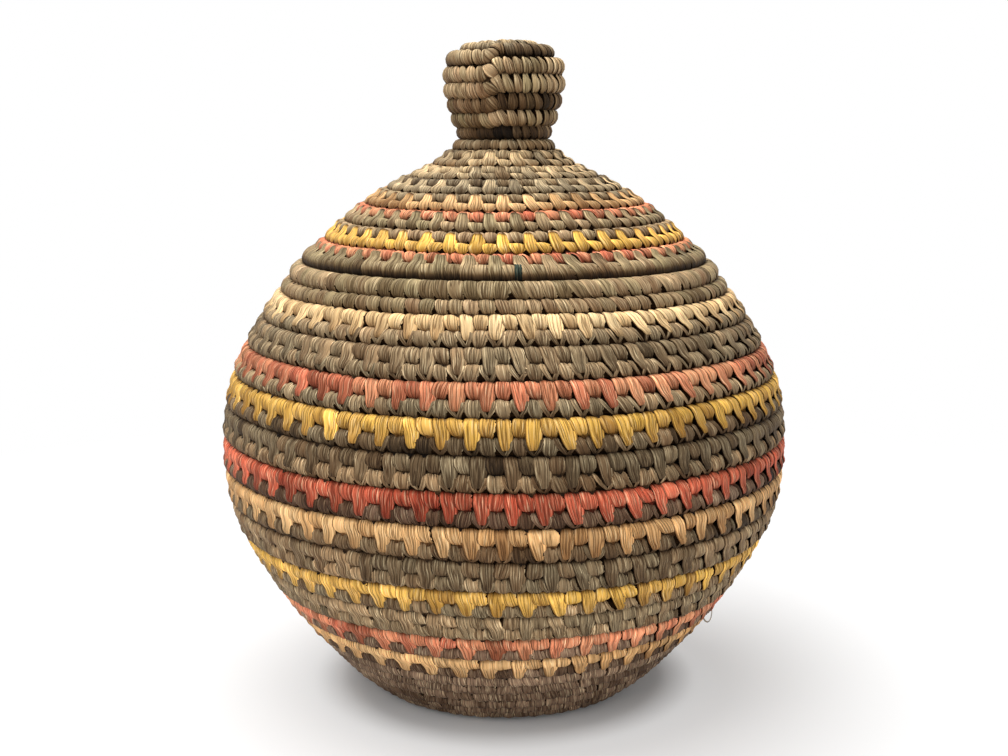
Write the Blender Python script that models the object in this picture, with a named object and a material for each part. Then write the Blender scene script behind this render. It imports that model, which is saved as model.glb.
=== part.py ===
"""A round lidded basket sewn from a grass coil, with a cone lid and a coiled knob.

The basket is one bundle of grass that winds from the middle of the base up to the rim.
The lid is a second bundle that winds from the top of its knob out to the lid's edge.
Each object below is the stretch of a bundle that is sewn over with one colour of grass.
Lengths are in metres, +Z is up, and the origin lies on the floor under the base's middle.
"""

import math

import bmesh
import bpy
import numpy as np

# The basket's wall, measured to the middle of its coil
RIM_RADIUS = 0.0684
RIM_HEIGHT = 0.1428
BELLY_RADIUS = 0.0923
BELLY_HEIGHT = 0.0864
FOOT_RADIUS = 0.0400

# The lid and its knob, measured to the middle of their coil
LID_RISE = 0.0392
NECK_RADIUS = 0.0133
KNOB_RADIUS = 0.0175
KNOB_RISE = 0.0304

# Coil thicknesses across the flats, and the gap between one row and the next
COIL_THICKNESS = 0.00456
RIM_THICKNESS = 0.0058
LID_EDGE_THICKNESS = 0.0054
LID_COIL_THICKNESS = 0.00377
KNOB_COIL_THICKNESS = 0.0041
ROW_GAP = 0.00050

# Running and seating gaps
SEAT_CLEARANCE = 0.0003
END_CLEARANCE = 0.0003
FLANGE_CLEARANCE = 0.0010

# The loose end of a sewing strand at the right of the foot
STRAND_THICKNESS = 0.0007
STRAND_REACH = 0.0040

# The direction in which the lid's edge leans on the rim, from level outwards, in degrees
SEAT_ANGLE = 130.0

# A coil has this many points a turn, and six sides, so its flats face its neighbours
TURN_POINTS = 24
KNOB_TURN_POINTS = 16
BEVEL_RESOLUTION = 1
SECTION_SIDES = 6

# Each row runs level over the front and climbs to the next over the back half of its turn
CLIMB_START_SHARE = 0.5

# The steepest climb, as a share of one row a turn: a smooth step is 1.5 times as steep as a ramp
STEEPEST_CLIMB_SHARE = 1.5 / (1 - CLIMB_START_SHARE)

# How thin a bundle is where it starts, over how many turns it thickens, and where it starts
START_THICKNESS_SHARE = 0.55
START_TURN_COUNT = 3.0
START_RADIUS_SHARE = 0.62

# Points further apart than this many turns lie on different rows
OTHER_ROW_TURN_SHARE = 0.5

# The rim's last end is thinned down to this share of the coil
TAIL_TIP_SHARE = 0.22

# How deep the underside is cut flat, as a share of the coil's depth
FLAT_CUT_SHARE = 0.1

# Wall outline between rim and belly, as shares of the way out and of the height between them
UPPER_WALL_SHARES = ((0.516, 0.688), (0.885, 0.361))

# Wall outline between belly and foot, as shares of the radius and height from foot to belly
LOWER_WALL_SHARES = ((0.955, 0.759), (0.786, 0.540), (0.561, 0.332), (0.370, 0.191), (0.155, 0.058))

# Where the level base outline has its points, as shares of the foot's radius
BASE_SHARES = (0.9, 0.5, 0.0)

# Cone outline, as shares of the radius from neck to edge and of the lid's rise
CONE_SHARES = ((0.789, 0.270), (0.525, 0.523), (0.385, 0.622), (0.229, 0.719), (0.085, 0.844))

# Knob wall outline, as shares of the radius from neck to knob and of the knob's rise
KNOB_WALL_SHARES = ((0.21, 0.151), (0.595, 0.329), (0.905, 0.507), (1.0, 0.684))

# Knob crown outline, as shares of the knob's radius and of its rise
KNOB_CROWN_SHARES = ((0.931, 0.849), (0.686, 0.938), (0.371, 0.980))

# How many samples the outline curve has between two of its points
OUTLINE_SAMPLES = 40

# How often the place of a row is corrected for the bend between it and the last
SPACING_PASSES = 6

# The loose strand's bends, as shares of its reach: outwards from the wall, and up
STRAND_SHARES = (
    (0.0, 0.0),
    (0.20, -0.12),
    (0.33, -0.38),
    (0.48, -0.58),
    (0.68, -0.62),
    (0.86, -0.42),
    (0.97, 0.02),
    (1.0, 0.48),
    (0.92, 0.90),
)
STRAND_ROW_COUNT = 25.5
STRAND_ANGLE = -15.0

# Dyed and natural grass, as linear colours
DARK = (0.150, 0.118, 0.076)
DEEP = (0.095, 0.064, 0.046)
CREAM = (0.600, 0.430, 0.230)
RED = (0.420, 0.105, 0.055)
YELLOW = (0.640, 0.400, 0.105)
TAN = (0.380, 0.255, 0.140)
OLIVE = (0.165, 0.140, 0.080)
GREY = (0.170, 0.150, 0.120)
STRAND_GREY = (0.330, 0.310, 0.280)
GRASS_ROUGHNESS = 0.72

# The wall's colours from the rim down: node, colour and rows
WALL_BANDS = (
    ("basket_rim_coil", OLIVE, 2),
    ("wall_cream_coil_upper", CREAM, 1),
    ("wall_dark_coil_shoulder", DARK, 3),
    ("wall_red_coil_upper", RED, 1),
    ("wall_dark_coil_upper_thread", DARK, 1),
    ("wall_yellow_coil_upper", YELLOW, 1),
    ("wall_dark_coil_upper_belly", DARK, 3),
    ("wall_red_coil_belly", RED, 1),
    ("wall_grey_coil_belly", GREY, 1),
    ("wall_cream_coil_belly", CREAM, 1),
    ("wall_dark_coil_lower_belly", DARK, 3),
    ("wall_yellow_coil_lower", YELLOW, 1),
    ("wall_dark_coil_lower", DARK, 3),
    ("wall_red_coil_lower", RED, 1),
    ("wall_grey_coil_lower", GREY, 1),
    ("wall_cream_coil_lower", CREAM, 1),
)

# The lid's colours from its edge up: node, colour and rows
LID_BANDS = (
    ("lid_edge_coil", OLIVE, 1),
    ("lid_red_coil_outer", RED, 1),
    ("lid_yellow_coil", YELLOW, 1),
    ("lid_dark_coil", OLIVE, 2),
    ("lid_red_coil_inner", RED, 1),
    ("lid_tan_coil", TAN, 1),
)
KNOB_CROWN_ROW_COUNT = 3
FLANGE_ROW_COUNT = 2

# Millimetres in a metre, for what is printed
MILLIMETRES = 1000


def half_depth(thickness):
    """Return the radius of the six-sided section that is as thick as given across its flats."""
    return thickness / 2 / math.cos(math.pi / SECTION_SIDES)


def section_reach(thickness, outward, direction):
    """Return how far a section reaches in a direction, with one of its corners facing outwards."""
    corner_step = 2 * math.pi / SECTION_SIDES
    turned = (direction - outward) % corner_step
    return half_depth(thickness) * math.cos(min(turned, corner_step - turned))


def facing_reach(thickness, bend):
    """Return how far a section reaches to a row beside it that is turned away by twice the bend."""
    flat_angle = math.pi / SECTION_SIDES
    return half_depth(thickness) * math.cos(flat_angle - min(bend, flat_angle))


def between(low, high, share):
    """Return the value at a share of the way from low to high."""
    return low + (high - low) * share


class Outline:
    """A smooth curve in the radius and height plane, read by the length along it.

    The side is 1 where the outer face lies to the left of the way along, and -1 to the right.
    """

    def __init__(self, points, side):
        points = np.array(points)
        steps = np.linalg.norm(np.diff(points, axis=0), axis=1)
        slopes = np.diff(points, axis=0) / steps[:, None]
        tangents = np.empty_like(points)
        tangents[0] = slopes[0]
        tangents[-1] = slopes[-1]
        weights = (steps[1:] / (steps[1:] + steps[:-1]))[:, None]
        tangents[1:-1] = slopes[:-1] * weights + slopes[1:] * (1 - weights)
        share = np.linspace(0, 1, OUTLINE_SAMPLES, endpoint=False)[:, None]
        stretches = []
        for index, step in enumerate(steps):
            start, end = points[index], points[index + 1]
            lead_in, lead_out = tangents[index] * step, tangents[index + 1] * step
            stretches.append(
                start * (1 + 2 * share) * (1 - share) ** 2
                + lead_in * share * (1 - share) ** 2
                + end * share**2 * (3 - 2 * share)
                + lead_out * share**2 * (share - 1)
            )
        self.points = np.vstack(stretches + [points[-1:]])
        self.side = side
        lengths = np.linalg.norm(np.diff(self.points, axis=0), axis=1)
        self.length = np.concatenate([[0.0], np.cumsum(lengths)])
        self.knots = self.length[::OUTLINE_SAMPLES]
        heading = np.gradient(self.points, self.length, axis=0)
        self.heading = heading / np.linalg.norm(heading, axis=1)[:, None]

    def place(self, along):
        """Return the radius and height at a length, straight on before the curve's start."""
        before = min(along, 0.0)
        radius = np.interp(along, self.length, self.points[:, 0])
        height = np.interp(along, self.length, self.points[:, 1])
        return (
            radius + before * self.heading[0][0],
            height + before * self.heading[0][1],
        )

    def outward(self, along):
        """Return the angle of the outer face at a length, from level towards up."""
        run = np.interp(along, self.length, self.heading[:, 0])
        rise = np.interp(along, self.length, self.heading[:, 1])
        return math.atan2(run * self.side, -rise * self.side)


def climb(turns):
    """Return how many rows a bundle has climbed after some turns."""
    whole = math.floor(turns)
    ramp = max(0.0, (turns - whole - CLIMB_START_SHARE) / (1 - CLIMB_START_SHARE))
    return whole + ramp * ramp * (3 - 2 * ramp)


class Bundle:
    """A bundle of grass that winds along an outline, one row to a turn.

    Its turns are counted from its edge, and grow along the outline.
    """

    def __init__(self, outline, row_thicknesses, start_azimuth, handedness):
        self.outline = outline
        self.thicknesses = row_thicknesses
        self.start_azimuth = start_azimuth
        self.handedness = handedness
        self.rows = [0.0]
        for last, following in zip(row_thicknesses, row_thicknesses[1:]):
            self.rows.append(self.next_row(self.rows[-1], last, following))

    def next_row(self, along, last, following):
        """Return where the next row lies, clear of the last where the outline bends.

        Rows come closer where the bundle climbs at a slant, and in the middle of its straight runs.
        """
        start = np.array(self.outline.place(along))
        outward = self.outline.outward(along)
        step = (last + following) / 2 + ROW_GAP
        turn_length = 2 * math.pi * max(start[0], step)
        slant = math.hypot(1.0, STEEPEST_CLIMB_SHARE * step / turn_length)
        flattened = math.cos(math.pi / TURN_POINTS)
        for _ in range(SPACING_PASSES):
            bend = abs(self.outline.outward(along + step) - outward) / 2
            reach = facing_reach(last, bend) + facing_reach(following, bend)
            needed = (reach + ROW_GAP) * slant / flattened
            chord = np.linalg.norm(np.array(self.outline.place(along + step)) - start)
            step += needed - chord
        return along + step

    def section(self, turns):
        """Return the length along the outline and the thickness after some turns."""
        if turns < 0:
            available = climb(turns + 1) * (self.thicknesses[0] + ROW_GAP) - ROW_GAP
            return (available - self.thicknesses[0]) / 2, available
        row = int(math.floor(turns))
        share = climb(turns) - row
        along = between(self.rows[row], self.rows[row + 1], share)
        return along, between(self.thicknesses[row], self.thicknesses[row + 1], share)

    def point(self, turns):
        """Return the place of the bundle's middle after some turns."""
        radius, height = self.outline.place(self.section(turns)[0])
        azimuth = self.start_azimuth + self.handedness * 2 * math.pi * turns
        return np.array([radius * math.cos(azimuth), radius * math.sin(azimuth), height])

    def tail_turns(self):
        """Return the turns, below zero, at which the thinned last end of the bundle stops."""
        step = 1 / TURN_POINTS
        turns = -step
        while self.section(turns - step)[1] > TAIL_TIP_SHARE * self.thicknesses[0]:
            turns -= step
        return turns

    def middle_turns(self, points_per_turn):
        """Return the turns at which the bundle has its start, close to the outline's end."""
        start_radius = START_RADIUS_SHARE * (self.thicknesses[-1] + ROW_GAP)
        turns = 1.0
        while self.outline.place(self.section(turns)[0])[0] > start_radius:
            turns += 1 / points_per_turn
        return turns

    def stretch(self, first, last, points_per_turn, join_first, join_last):
        """Return the turns of a stretch's points, with its joined ends drawn back.

        The ends of two stretches meet at a corner of their path, so their inner corners are
        the ones that keep the clearance.
        """
        turns = np.arange(round(first * points_per_turn), round(last * points_per_turn) + 1)
        turns = turns / points_per_turn
        corner = math.tan(math.pi / points_per_turn)
        if join_first:
            depth = half_depth(self.section(turns[0])[1])
            turns[0] += self.turns_over(END_CLEARANCE / 2 + depth * corner, turns[0])
        if join_last:
            depth = half_depth(self.section(turns[-1])[1])
            turns[-1] -= self.turns_over(END_CLEARANCE / 2 + depth * corner, turns[-1])
        return turns

    def turns_over(self, length, turns):
        """Return the share of a turn that a length takes up."""
        radius = self.outline.place(self.section(turns)[0])[0]
        return length / (2 * math.pi * radius)


def grass_material(name, colour):
    """Return a matt material in a colour of grass."""
    material = bpy.data.materials.new(name)
    material.use_nodes = True
    shader = material.node_tree.nodes["Principled BSDF"]
    shader.inputs["Base Color"].default_value = (*colour, 1.0)
    shader.inputs["Roughness"].default_value = GRASS_ROUGHNESS
    shader.inputs["Metallic"].default_value = 0.0
    return material


def tube(name, points, radii, tilts, depth, colour, parent, collection):
    """Add a tube with filled ends through points, as a curve object under its parent."""
    curve = bpy.data.curves.new(name, "CURVE")
    curve.dimensions = "3D"
    curve.twist_mode = "Z_UP"
    curve.bevel_depth = depth
    curve.bevel_resolution = BEVEL_RESOLUTION
    curve.use_fill_caps = True
    spline = curve.splines.new("POLY")
    spline.points.add(len(points) - 1)
    offset = np.array(parent.location)
    for target, point, radius, tilt in zip(spline.points, points, radii, tilts):
        target.co = (*(point - offset), 1.0)
        target.radius = radius
        target.tilt = tilt
    spline.use_smooth = True
    curve.materials.append(grass_material(name, colour))
    part = bpy.data.objects.new(name, curve)
    part.parent = parent
    collection.objects.link(part)
    return part


def coil(name, colour, bundle, turns, start_turns, parent, collection):
    """Add a stretch of a bundle as a tube whose flats face the rows beside it."""
    nominal = bundle.thicknesses[int(max(0.0, turns[len(turns) // 2]))]
    points, radii, tilts = [], [], []
    for turn in turns:
        along, thickness = bundle.section(turn)
        if start_turns is not None:
            ripeness = min(1.0, (start_turns - turn) / START_TURN_COUNT)
            thickness *= between(START_THICKNESS_SHARE, 1.0, ripeness)
        points.append(bundle.point(turn))
        radii.append(thickness / nominal)
        tilts.append(-bundle.handedness * bundle.outline.outward(along))
    report_least_gap(name, np.array(points), np.array(radii) * nominal, turns)
    return tube(name, points, radii, tilts, half_depth(nominal), colour, parent, collection)


def report_least_gap(name, points, thicknesses, turns):
    """Print the least gap between a stretch's rows, from its points to its straight runs."""
    starts, runs = points[:-1], np.diff(points, axis=0)
    offsets = points[:, None, :] - starts[None, :, :]
    shares = (offsets * runs).sum(axis=2) / (runs * runs).sum(axis=1)
    shares = np.clip(shares, 0.0, 1.0)
    apart = np.linalg.norm(offsets - shares[:, :, None] * runs, axis=2)
    gaps = apart - (thicknesses[:, None] + thicknesses[None, :-1]) / 2
    elsewhere = np.abs(turns[:, None] - turns[None, :-1]) > OTHER_ROW_TURN_SHARE
    if elsewhere.any():
        print(f"{name}: least gap to itself {MILLIMETRES * gaps[elsewhere].min():.2f} mm")


def cut_flat_on_floor(part):
    """Trade a tube that reaches below the floor for a mesh that is cut flat on it."""
    evaluated = part.evaluated_get(bpy.context.evaluated_depsgraph_get())
    mesh = bpy.data.meshes.new_from_object(evaluated)
    mesh.transform(part.matrix_world)
    if min(vertex.co.z for vertex in mesh.vertices) >= 0:
        bpy.data.meshes.remove(mesh)
        return
    shape = bmesh.new()
    shape.from_mesh(mesh)
    bmesh.ops.remove_doubles(shape, verts=shape.verts, dist=END_CLEARANCE / 100)
    everything = shape.verts[:] + shape.edges[:] + shape.faces[:]
    bmesh.ops.bisect_plane(
        shape, geom=everything, plane_co=(0, 0, 0), plane_no=(0, 0, -1), clear_outer=True
    )
    open_edges = [edge for edge in shape.edges if edge.is_boundary]
    filled = bmesh.ops.holes_fill(shape, edges=open_edges, sides=0)
    bmesh.ops.triangulate(shape, faces=filled["faces"])
    bmesh.ops.recalc_face_normals(shape, faces=shape.faces)
    shape.to_mesh(mesh)
    shape.free()
    mesh.transform(part.matrix_world.inverted())
    name, curve = part.name, part.data
    cut = bpy.data.objects.new(name + "_cut", mesh)
    cut.parent = part.parent
    for collection in part.users_collection:
        collection.objects.link(cut)
    cut.matrix_world = part.matrix_world
    bpy.data.objects.remove(part)
    bpy.data.curves.remove(curve)
    cut.name = name
    mesh.name = name


def clear_scene():
    """Remove the objects of the scene that is open."""
    for stale in list(bpy.data.objects):
        bpy.data.objects.remove(stale)


def empty(name, height, collection):
    """Add an empty on the basket's axis that carries the pieces of one body."""
    holder = bpy.data.objects.new(name, None)
    holder.location = (0, 0, height)
    collection.objects.link(holder)
    return holder


def basket_bundle():
    """Return the basket's bundle, and its turns where the wall has come down to the floor."""
    floor = half_depth(COIL_THICKNESS) * (1 - 2 * FLAT_CUT_SHARE)
    points = [(RIM_RADIUS, RIM_HEIGHT)]
    for out_share, up_share in UPPER_WALL_SHARES:
        radius = between(RIM_RADIUS, BELLY_RADIUS, out_share)
        points.append((radius, between(BELLY_HEIGHT, RIM_HEIGHT, up_share)))
    points.append((BELLY_RADIUS, BELLY_HEIGHT))
    for out_share, up_share in LOWER_WALL_SHARES:
        radius = between(FOOT_RADIUS, BELLY_RADIUS, out_share)
        points.append((radius, between(floor, BELLY_HEIGHT, up_share)))
    points.append((FOOT_RADIUS, floor))
    foot_index = len(points) - 1
    points.extend((FOOT_RADIUS * share, floor) for share in BASE_SHARES)
    outline = Outline(points, side=1)
    rows = math.ceil(outline.length[-1] / (COIL_THICKNESS + ROW_GAP)) + 2
    thicknesses = [RIM_THICKNESS] + [COIL_THICKNESS] * rows
    bundle = Bundle(outline, thicknesses, start_azimuth=0.0, handedness=-1)
    return bundle, int(np.searchsorted(bundle.rows, outline.knots[foot_index]))


def seat_place():
    """Return the middle of the lid's edge coil where it leans on the rim coil inside."""
    upper_point = (
        between(RIM_RADIUS, BELLY_RADIUS, UPPER_WALL_SHARES[0][0]),
        between(BELLY_HEIGHT, RIM_HEIGHT, UPPER_WALL_SHARES[0][1]),
    )
    rim_outward = math.atan2(upper_point[0] - RIM_RADIUS, RIM_HEIGHT - upper_point[1])
    cone_outward = math.atan2(
        (RIM_RADIUS - NECK_RADIUS) * (1 - CONE_SHARES[0][0]), LID_RISE * CONE_SHARES[0][1]
    )
    lean = math.radians(SEAT_ANGLE)
    spacing = section_reach(RIM_THICKNESS, rim_outward, lean)
    spacing += section_reach(LID_EDGE_THICKNESS, cone_outward, lean + math.pi)
    spacing += SEAT_CLEARANCE
    return RIM_RADIUS + spacing * math.cos(lean), RIM_HEIGHT + spacing * math.sin(lean)


def lid_bundle():
    """Return the lid's bundle and its turns at the neck, where the knob's thicker coil starts."""
    edge_radius, edge_height = seat_place()
    neck_height = edge_height + LID_RISE
    points = [(edge_radius, edge_height)]
    for out_share, up_share in CONE_SHARES:
        radius = between(NECK_RADIUS, edge_radius, out_share)
        points.append((radius, edge_height + LID_RISE * up_share))
    points.append((NECK_RADIUS, neck_height))
    neck_index = len(points) - 1
    for out_share, up_share in KNOB_WALL_SHARES:
        radius = between(NECK_RADIUS, KNOB_RADIUS, out_share)
        points.append((radius, neck_height + KNOB_RISE * up_share))
    for out_share, up_share in KNOB_CROWN_SHARES:
        points.append((KNOB_RADIUS * out_share, neck_height + KNOB_RISE * up_share))
    points.append((0.0, neck_height + KNOB_RISE))
    outline = Outline(points, side=-1)
    fine_pitch = LID_COIL_THICKNESS + ROW_GAP
    fine_rows = round(outline.knots[neck_index] / fine_pitch)
    knob_length = outline.length[-1] - outline.knots[neck_index]
    knob_rows = math.ceil(knob_length / (KNOB_COIL_THICKNESS + ROW_GAP)) + 3
    thicknesses = [LID_EDGE_THICKNESS] + [LID_COIL_THICKNESS] * fine_rows
    thicknesses += [KNOB_COIL_THICKNESS] * knob_rows
    bundle = Bundle(outline, thicknesses, start_azimuth=math.pi, handedness=1)
    return bundle, fine_rows + 1


def flange_bundle(edge_place):
    """Return the bundle that hangs under the lid's edge and keeps the lid in the mouth."""
    depth = half_depth(COIL_THICKNESS)
    radius = RIM_RADIUS - half_depth(RIM_THICKNESS) - depth - FLANGE_CLEARANCE
    across = edge_place[0] - radius
    spacing = half_depth(LID_EDGE_THICKNESS) + depth + SEAT_CLEARANCE
    top = edge_place[1] - math.sqrt(max(0.0, spacing**2 - across**2))
    pitch = COIL_THICKNESS + ROW_GAP
    outline = Outline([(radius, top), (radius, top - pitch), (radius, top - 3 * pitch)], side=1)
    thicknesses = [COIL_THICKNESS] * (FLANGE_ROW_COUNT + 2)
    return Bundle(outline, thicknesses, start_azimuth=0.0, handedness=-1)


def add_basket(holder, collection):
    """Add the basket's rim, its coloured wall stretches, its foot and its base."""
    bundle, foot_turns = basket_bundle()
    end_turns = bundle.middle_turns(TURN_POINTS)
    first = bundle.tail_turns()
    row = 0
    stretches = []
    for name, colour, rows in WALL_BANDS:
        last = min(row + rows, foot_turns)
        if last > row:
            stretches.append((name, colour, first, last, None))
        row = first = last
    if foot_turns > row:
        stretches.append(("wall_dark_coil_foot", DEEP, row, foot_turns, None))
    stretches.append(("base_coil", DEEP, foot_turns, end_turns, end_turns))
    for name, colour, first, last, start_turns in stretches:
        turns = bundle.stretch(first, last, TURN_POINTS, first > 0, start_turns is None)
        part = coil(name, colour, bundle, turns, start_turns, holder, collection)
        bpy.context.view_layer.update()
        cut_flat_on_floor(part)
    return bundle


def add_lid(holder, collection):
    """Add the lid's edge, its coloured stretches, its shoulder, its knob and its flange."""
    bundle, neck_turns = lid_bundle()
    end_turns = bundle.middle_turns(KNOB_TURN_POINTS)
    first = bundle.tail_turns()
    row = 0
    stretches = []
    for name, colour, rows in LID_BANDS:
        last = min(row + rows, neck_turns)
        if last > row:
            stretches.append((name, colour, first, last, None, TURN_POINTS))
        row = first = last
    if neck_turns > row:
        stretches.append(("lid_shoulder_coil", GREY, row, neck_turns, None, TURN_POINTS))
    crown_turns = max(neck_turns + 1, math.floor(end_turns) - KNOB_CROWN_ROW_COUNT + 1)
    stretches.append(("knob_wall_coil", OLIVE, neck_turns, crown_turns, None, KNOB_TURN_POINTS))
    stretches.append(("knob_crown_coil", TAN, crown_turns, end_turns, end_turns, KNOB_TURN_POINTS))
    for name, colour, first, last, start_turns, per_turn in stretches:
        turns = bundle.stretch(first, last, per_turn, first > 0, start_turns is None)
        coil(name, colour, bundle, turns, start_turns, holder, collection)
    flange = flange_bundle(seat_place())
    turns = flange.stretch(
        flange.tail_turns(), FLANGE_ROW_COUNT, TURN_POINTS, False, False
    )
    coil("lid_flange_coil", DARK, flange, turns, None, holder, collection)


def add_loose_strand(bundle, holder, collection):
    """Add the loose strand end that curls out from between two rows of the wall."""
    row = int(STRAND_ROW_COUNT)
    along = between(bundle.rows[row - 1], bundle.rows[row], STRAND_ROW_COUNT - row)
    radius, height = bundle.outline.place(along)
    outward = bundle.outline.outward(along)
    side_angle = math.pi / SECTION_SIDES
    clearance = SEAT_CLEARANCE + STRAND_THICKNESS / 2
    groove = half_depth(COIL_THICKNESS) * math.sin(side_angle)
    root = groove + (clearance - ROW_GAP / 2 * math.sin(side_angle)) / math.cos(side_angle)
    azimuth = math.radians(STRAND_ANGLE)
    points = []
    for out_share, up_share in STRAND_SHARES:
        reach = radius + root * math.cos(outward) + STRAND_REACH * out_share
        level = height + root * math.sin(outward) + STRAND_REACH * up_share
        points.append(np.array([reach * math.cos(azimuth), reach * math.sin(azimuth), level]))
    even = [1.0] * len(points)
    untwisted = [0.0] * len(points)
    depth = STRAND_THICKNESS / 2
    tube("loose_strand", points, even, untwisted, depth, STRAND_GREY, holder, collection)


def build_basket():
    """Build the lidded basket in its own collection."""
    clear_scene()
    collection = bpy.data.collections.new("lidded_coiled_basket")
    bpy.context.scene.collection.children.link(collection)
    basket = empty("basket", 0.0, collection)
    lid = empty("lid", RIM_HEIGHT, collection)
    bpy.context.view_layer.update()
    wall = add_basket(basket, collection)
    add_lid(lid, collection)
    add_loose_strand(wall, basket, collection)


build_basket()
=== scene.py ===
"""Sew the lidded coiled basket, strip by strip, over the solids of its coils.

The basket and its lid are each one bundle of grass, wound in rows and sewn over with strips.
On every second row the long strips reach over the row that was sewn before.
There each tip splits the strip below it into a V.
Lengths are in metres and +Z is up.
"""

import dataclasses
import math

import bmesh
import bpy
import mathutils
import numpy as np
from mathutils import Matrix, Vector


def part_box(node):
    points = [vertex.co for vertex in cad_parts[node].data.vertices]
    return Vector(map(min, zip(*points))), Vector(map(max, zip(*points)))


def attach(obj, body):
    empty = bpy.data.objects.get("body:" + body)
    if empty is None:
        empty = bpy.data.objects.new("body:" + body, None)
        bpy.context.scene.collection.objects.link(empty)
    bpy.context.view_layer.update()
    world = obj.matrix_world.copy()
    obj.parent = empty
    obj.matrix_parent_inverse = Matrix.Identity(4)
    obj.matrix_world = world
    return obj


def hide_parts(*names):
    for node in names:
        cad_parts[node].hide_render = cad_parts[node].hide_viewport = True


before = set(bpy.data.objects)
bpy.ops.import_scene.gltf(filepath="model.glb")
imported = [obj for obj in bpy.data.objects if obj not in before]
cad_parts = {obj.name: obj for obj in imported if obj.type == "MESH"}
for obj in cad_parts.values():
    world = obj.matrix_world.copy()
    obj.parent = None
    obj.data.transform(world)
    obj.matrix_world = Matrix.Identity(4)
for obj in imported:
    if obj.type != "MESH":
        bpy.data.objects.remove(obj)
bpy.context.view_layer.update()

bl_info = {
    "name": "Lidded coiled basket",
    "version": (1, 0, 0),
    "blender": (4, 5, 0),
    "location": "View3D > Sidebar > Basket",
    "description": "Sews a coiled grass basket and its lid, strip by strip",
    "category": "Add Mesh",
}

MILLIMETRE = 0.001
MERGE_DISTANCE = 1e-6
SEED = 20

# The basket's wall and its lid, measured to the middle of their coils
RIM_RADIUS = 0.0684
RIM_HEIGHT = 0.1428
BELLY_RADIUS = 0.0923
BELLY_HEIGHT = 0.0864
FOOT_RADIUS = 0.0400
LID_RISE = 0.0392
NECK_RADIUS = 0.0133
KNOB_RADIUS = 0.0175
KNOB_RISE = 0.0304

# Coil thicknesses, and the gaps between the solids
COIL_THICKNESS = 0.00456
RIM_THICKNESS = 0.0058
LID_EDGE_THICKNESS = 0.0054
LID_COIL_THICKNESS = 0.00377
KNOB_COIL_THICKNESS = 0.0041
ROW_GAP = 0.00050
SEAT_CLEARANCE = 0.0003
FLANGE_CLEARANCE = 0.0010
SEAT_ANGLE = 130.0
FLAT_CUT_SHARE = 0.1
SECTION_SIDES = 6
TURN_POINTS = 24
KNOB_TURN_POINTS = 16
CLIMB_START_SHARE = 0.5
STEEPEST_CLIMB_SHARE = 1.5 / (1 - CLIMB_START_SHARE)
START_THICKNESS_SHARE = 0.55
START_TURN_COUNT = 3.0
START_RADIUS_SHARE = 0.62
TAIL_TURNS = 7 / 24
FLANGE_TAIL_TURNS = 9 / 24
OUTLINE_SAMPLES = 40
SPACING_PASSES = 6

# The outlines, as shares of the sizes that they run between
UPPER_WALL_SHARES = ((0.516, 0.688), (0.885, 0.361))
LOWER_WALL_SHARES = ((0.955, 0.759), (0.786, 0.540), (0.561, 0.332), (0.370, 0.191), (0.155, 0.058))
BASE_SHARES = (0.9, 0.5, 0.0)
CONE_SHARES = ((0.789, 0.270), (0.525, 0.523), (0.385, 0.622), (0.229, 0.719), (0.085, 0.844))
KNOB_WALL_SHARES = ((0.21, 0.151), (0.595, 0.329), (0.905, 0.507), (1.0, 0.684))
KNOB_CROWN_SHARES = ((0.931, 0.849), (0.686, 0.938), (0.371, 0.980))

# The knob's rows take a share of their climb in one step at its front
KNOB_STEP_AT = 0.195
KNOB_STEP_WIDTH = 0.04
KNOB_STEP_SHARE = 0.6
KNOB_STEP_ROWS = 5.0

# How far the rows stray from their even places, which fades out at both ends of a wall.
# A wave has its share, its waves a turn, its twist along the outline and its start.
WAVER = 0.0003
WAVER_FADE = 0.012
WAVES = ((1.0, 3, 55.0, 0.0), (0.6, 7, -40.0, 1.3))

# The basket's weight presses the sewing below this height to a share of its depth
PRESS_HEIGHT = 0.0012
PRESS_SHARE = 0.48

# The bundles: points a turn and sides round, and how thick the knob's is
WALL_BUNDLE_MESH = (90, 10)
LID_BUNDLE_MESH = (72, 8)
KNOB_BUNDLE_MESH = (48, 12)
KNOB_CORE_FULLNESS = 1.04

# The lining behind the knob's rows, dark as painted shade in the gaps
LINING_DEPTH = 0.0008
LINING_TIP_RADIUS = 0.0002
LINING_SIDES = 32
LINING_ROWS = 24

# The dark thread that is bound round the lid's edge in front
THREAD_TURNS = (0.2586, 0.2602, 0.2618)
THREAD_FADES = (0.3, 0.6, 0.4)
THREAD_WIDTH = 0.00085
THREAD_FULLNESS = 1.1
THREAD_RELIEF = 0.3

# The loose strip end at the right of the foot
STRAND_THICKNESS = 0.0007
STRAND_TIP_SHARE = 0.45
STRAND_REACH = 0.0040
STRAND_ROW = 25.5
STRAND_ANGLE = -15.0
STRAND_SHARES = (
    (0.0, 0.0), (0.20, -0.12), (0.33, -0.38), (0.48, -0.58), (0.68, -0.62), (0.86, -0.42),
    (0.97, 0.02), (1.0, 0.48), (0.92, 0.90),
)

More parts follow.
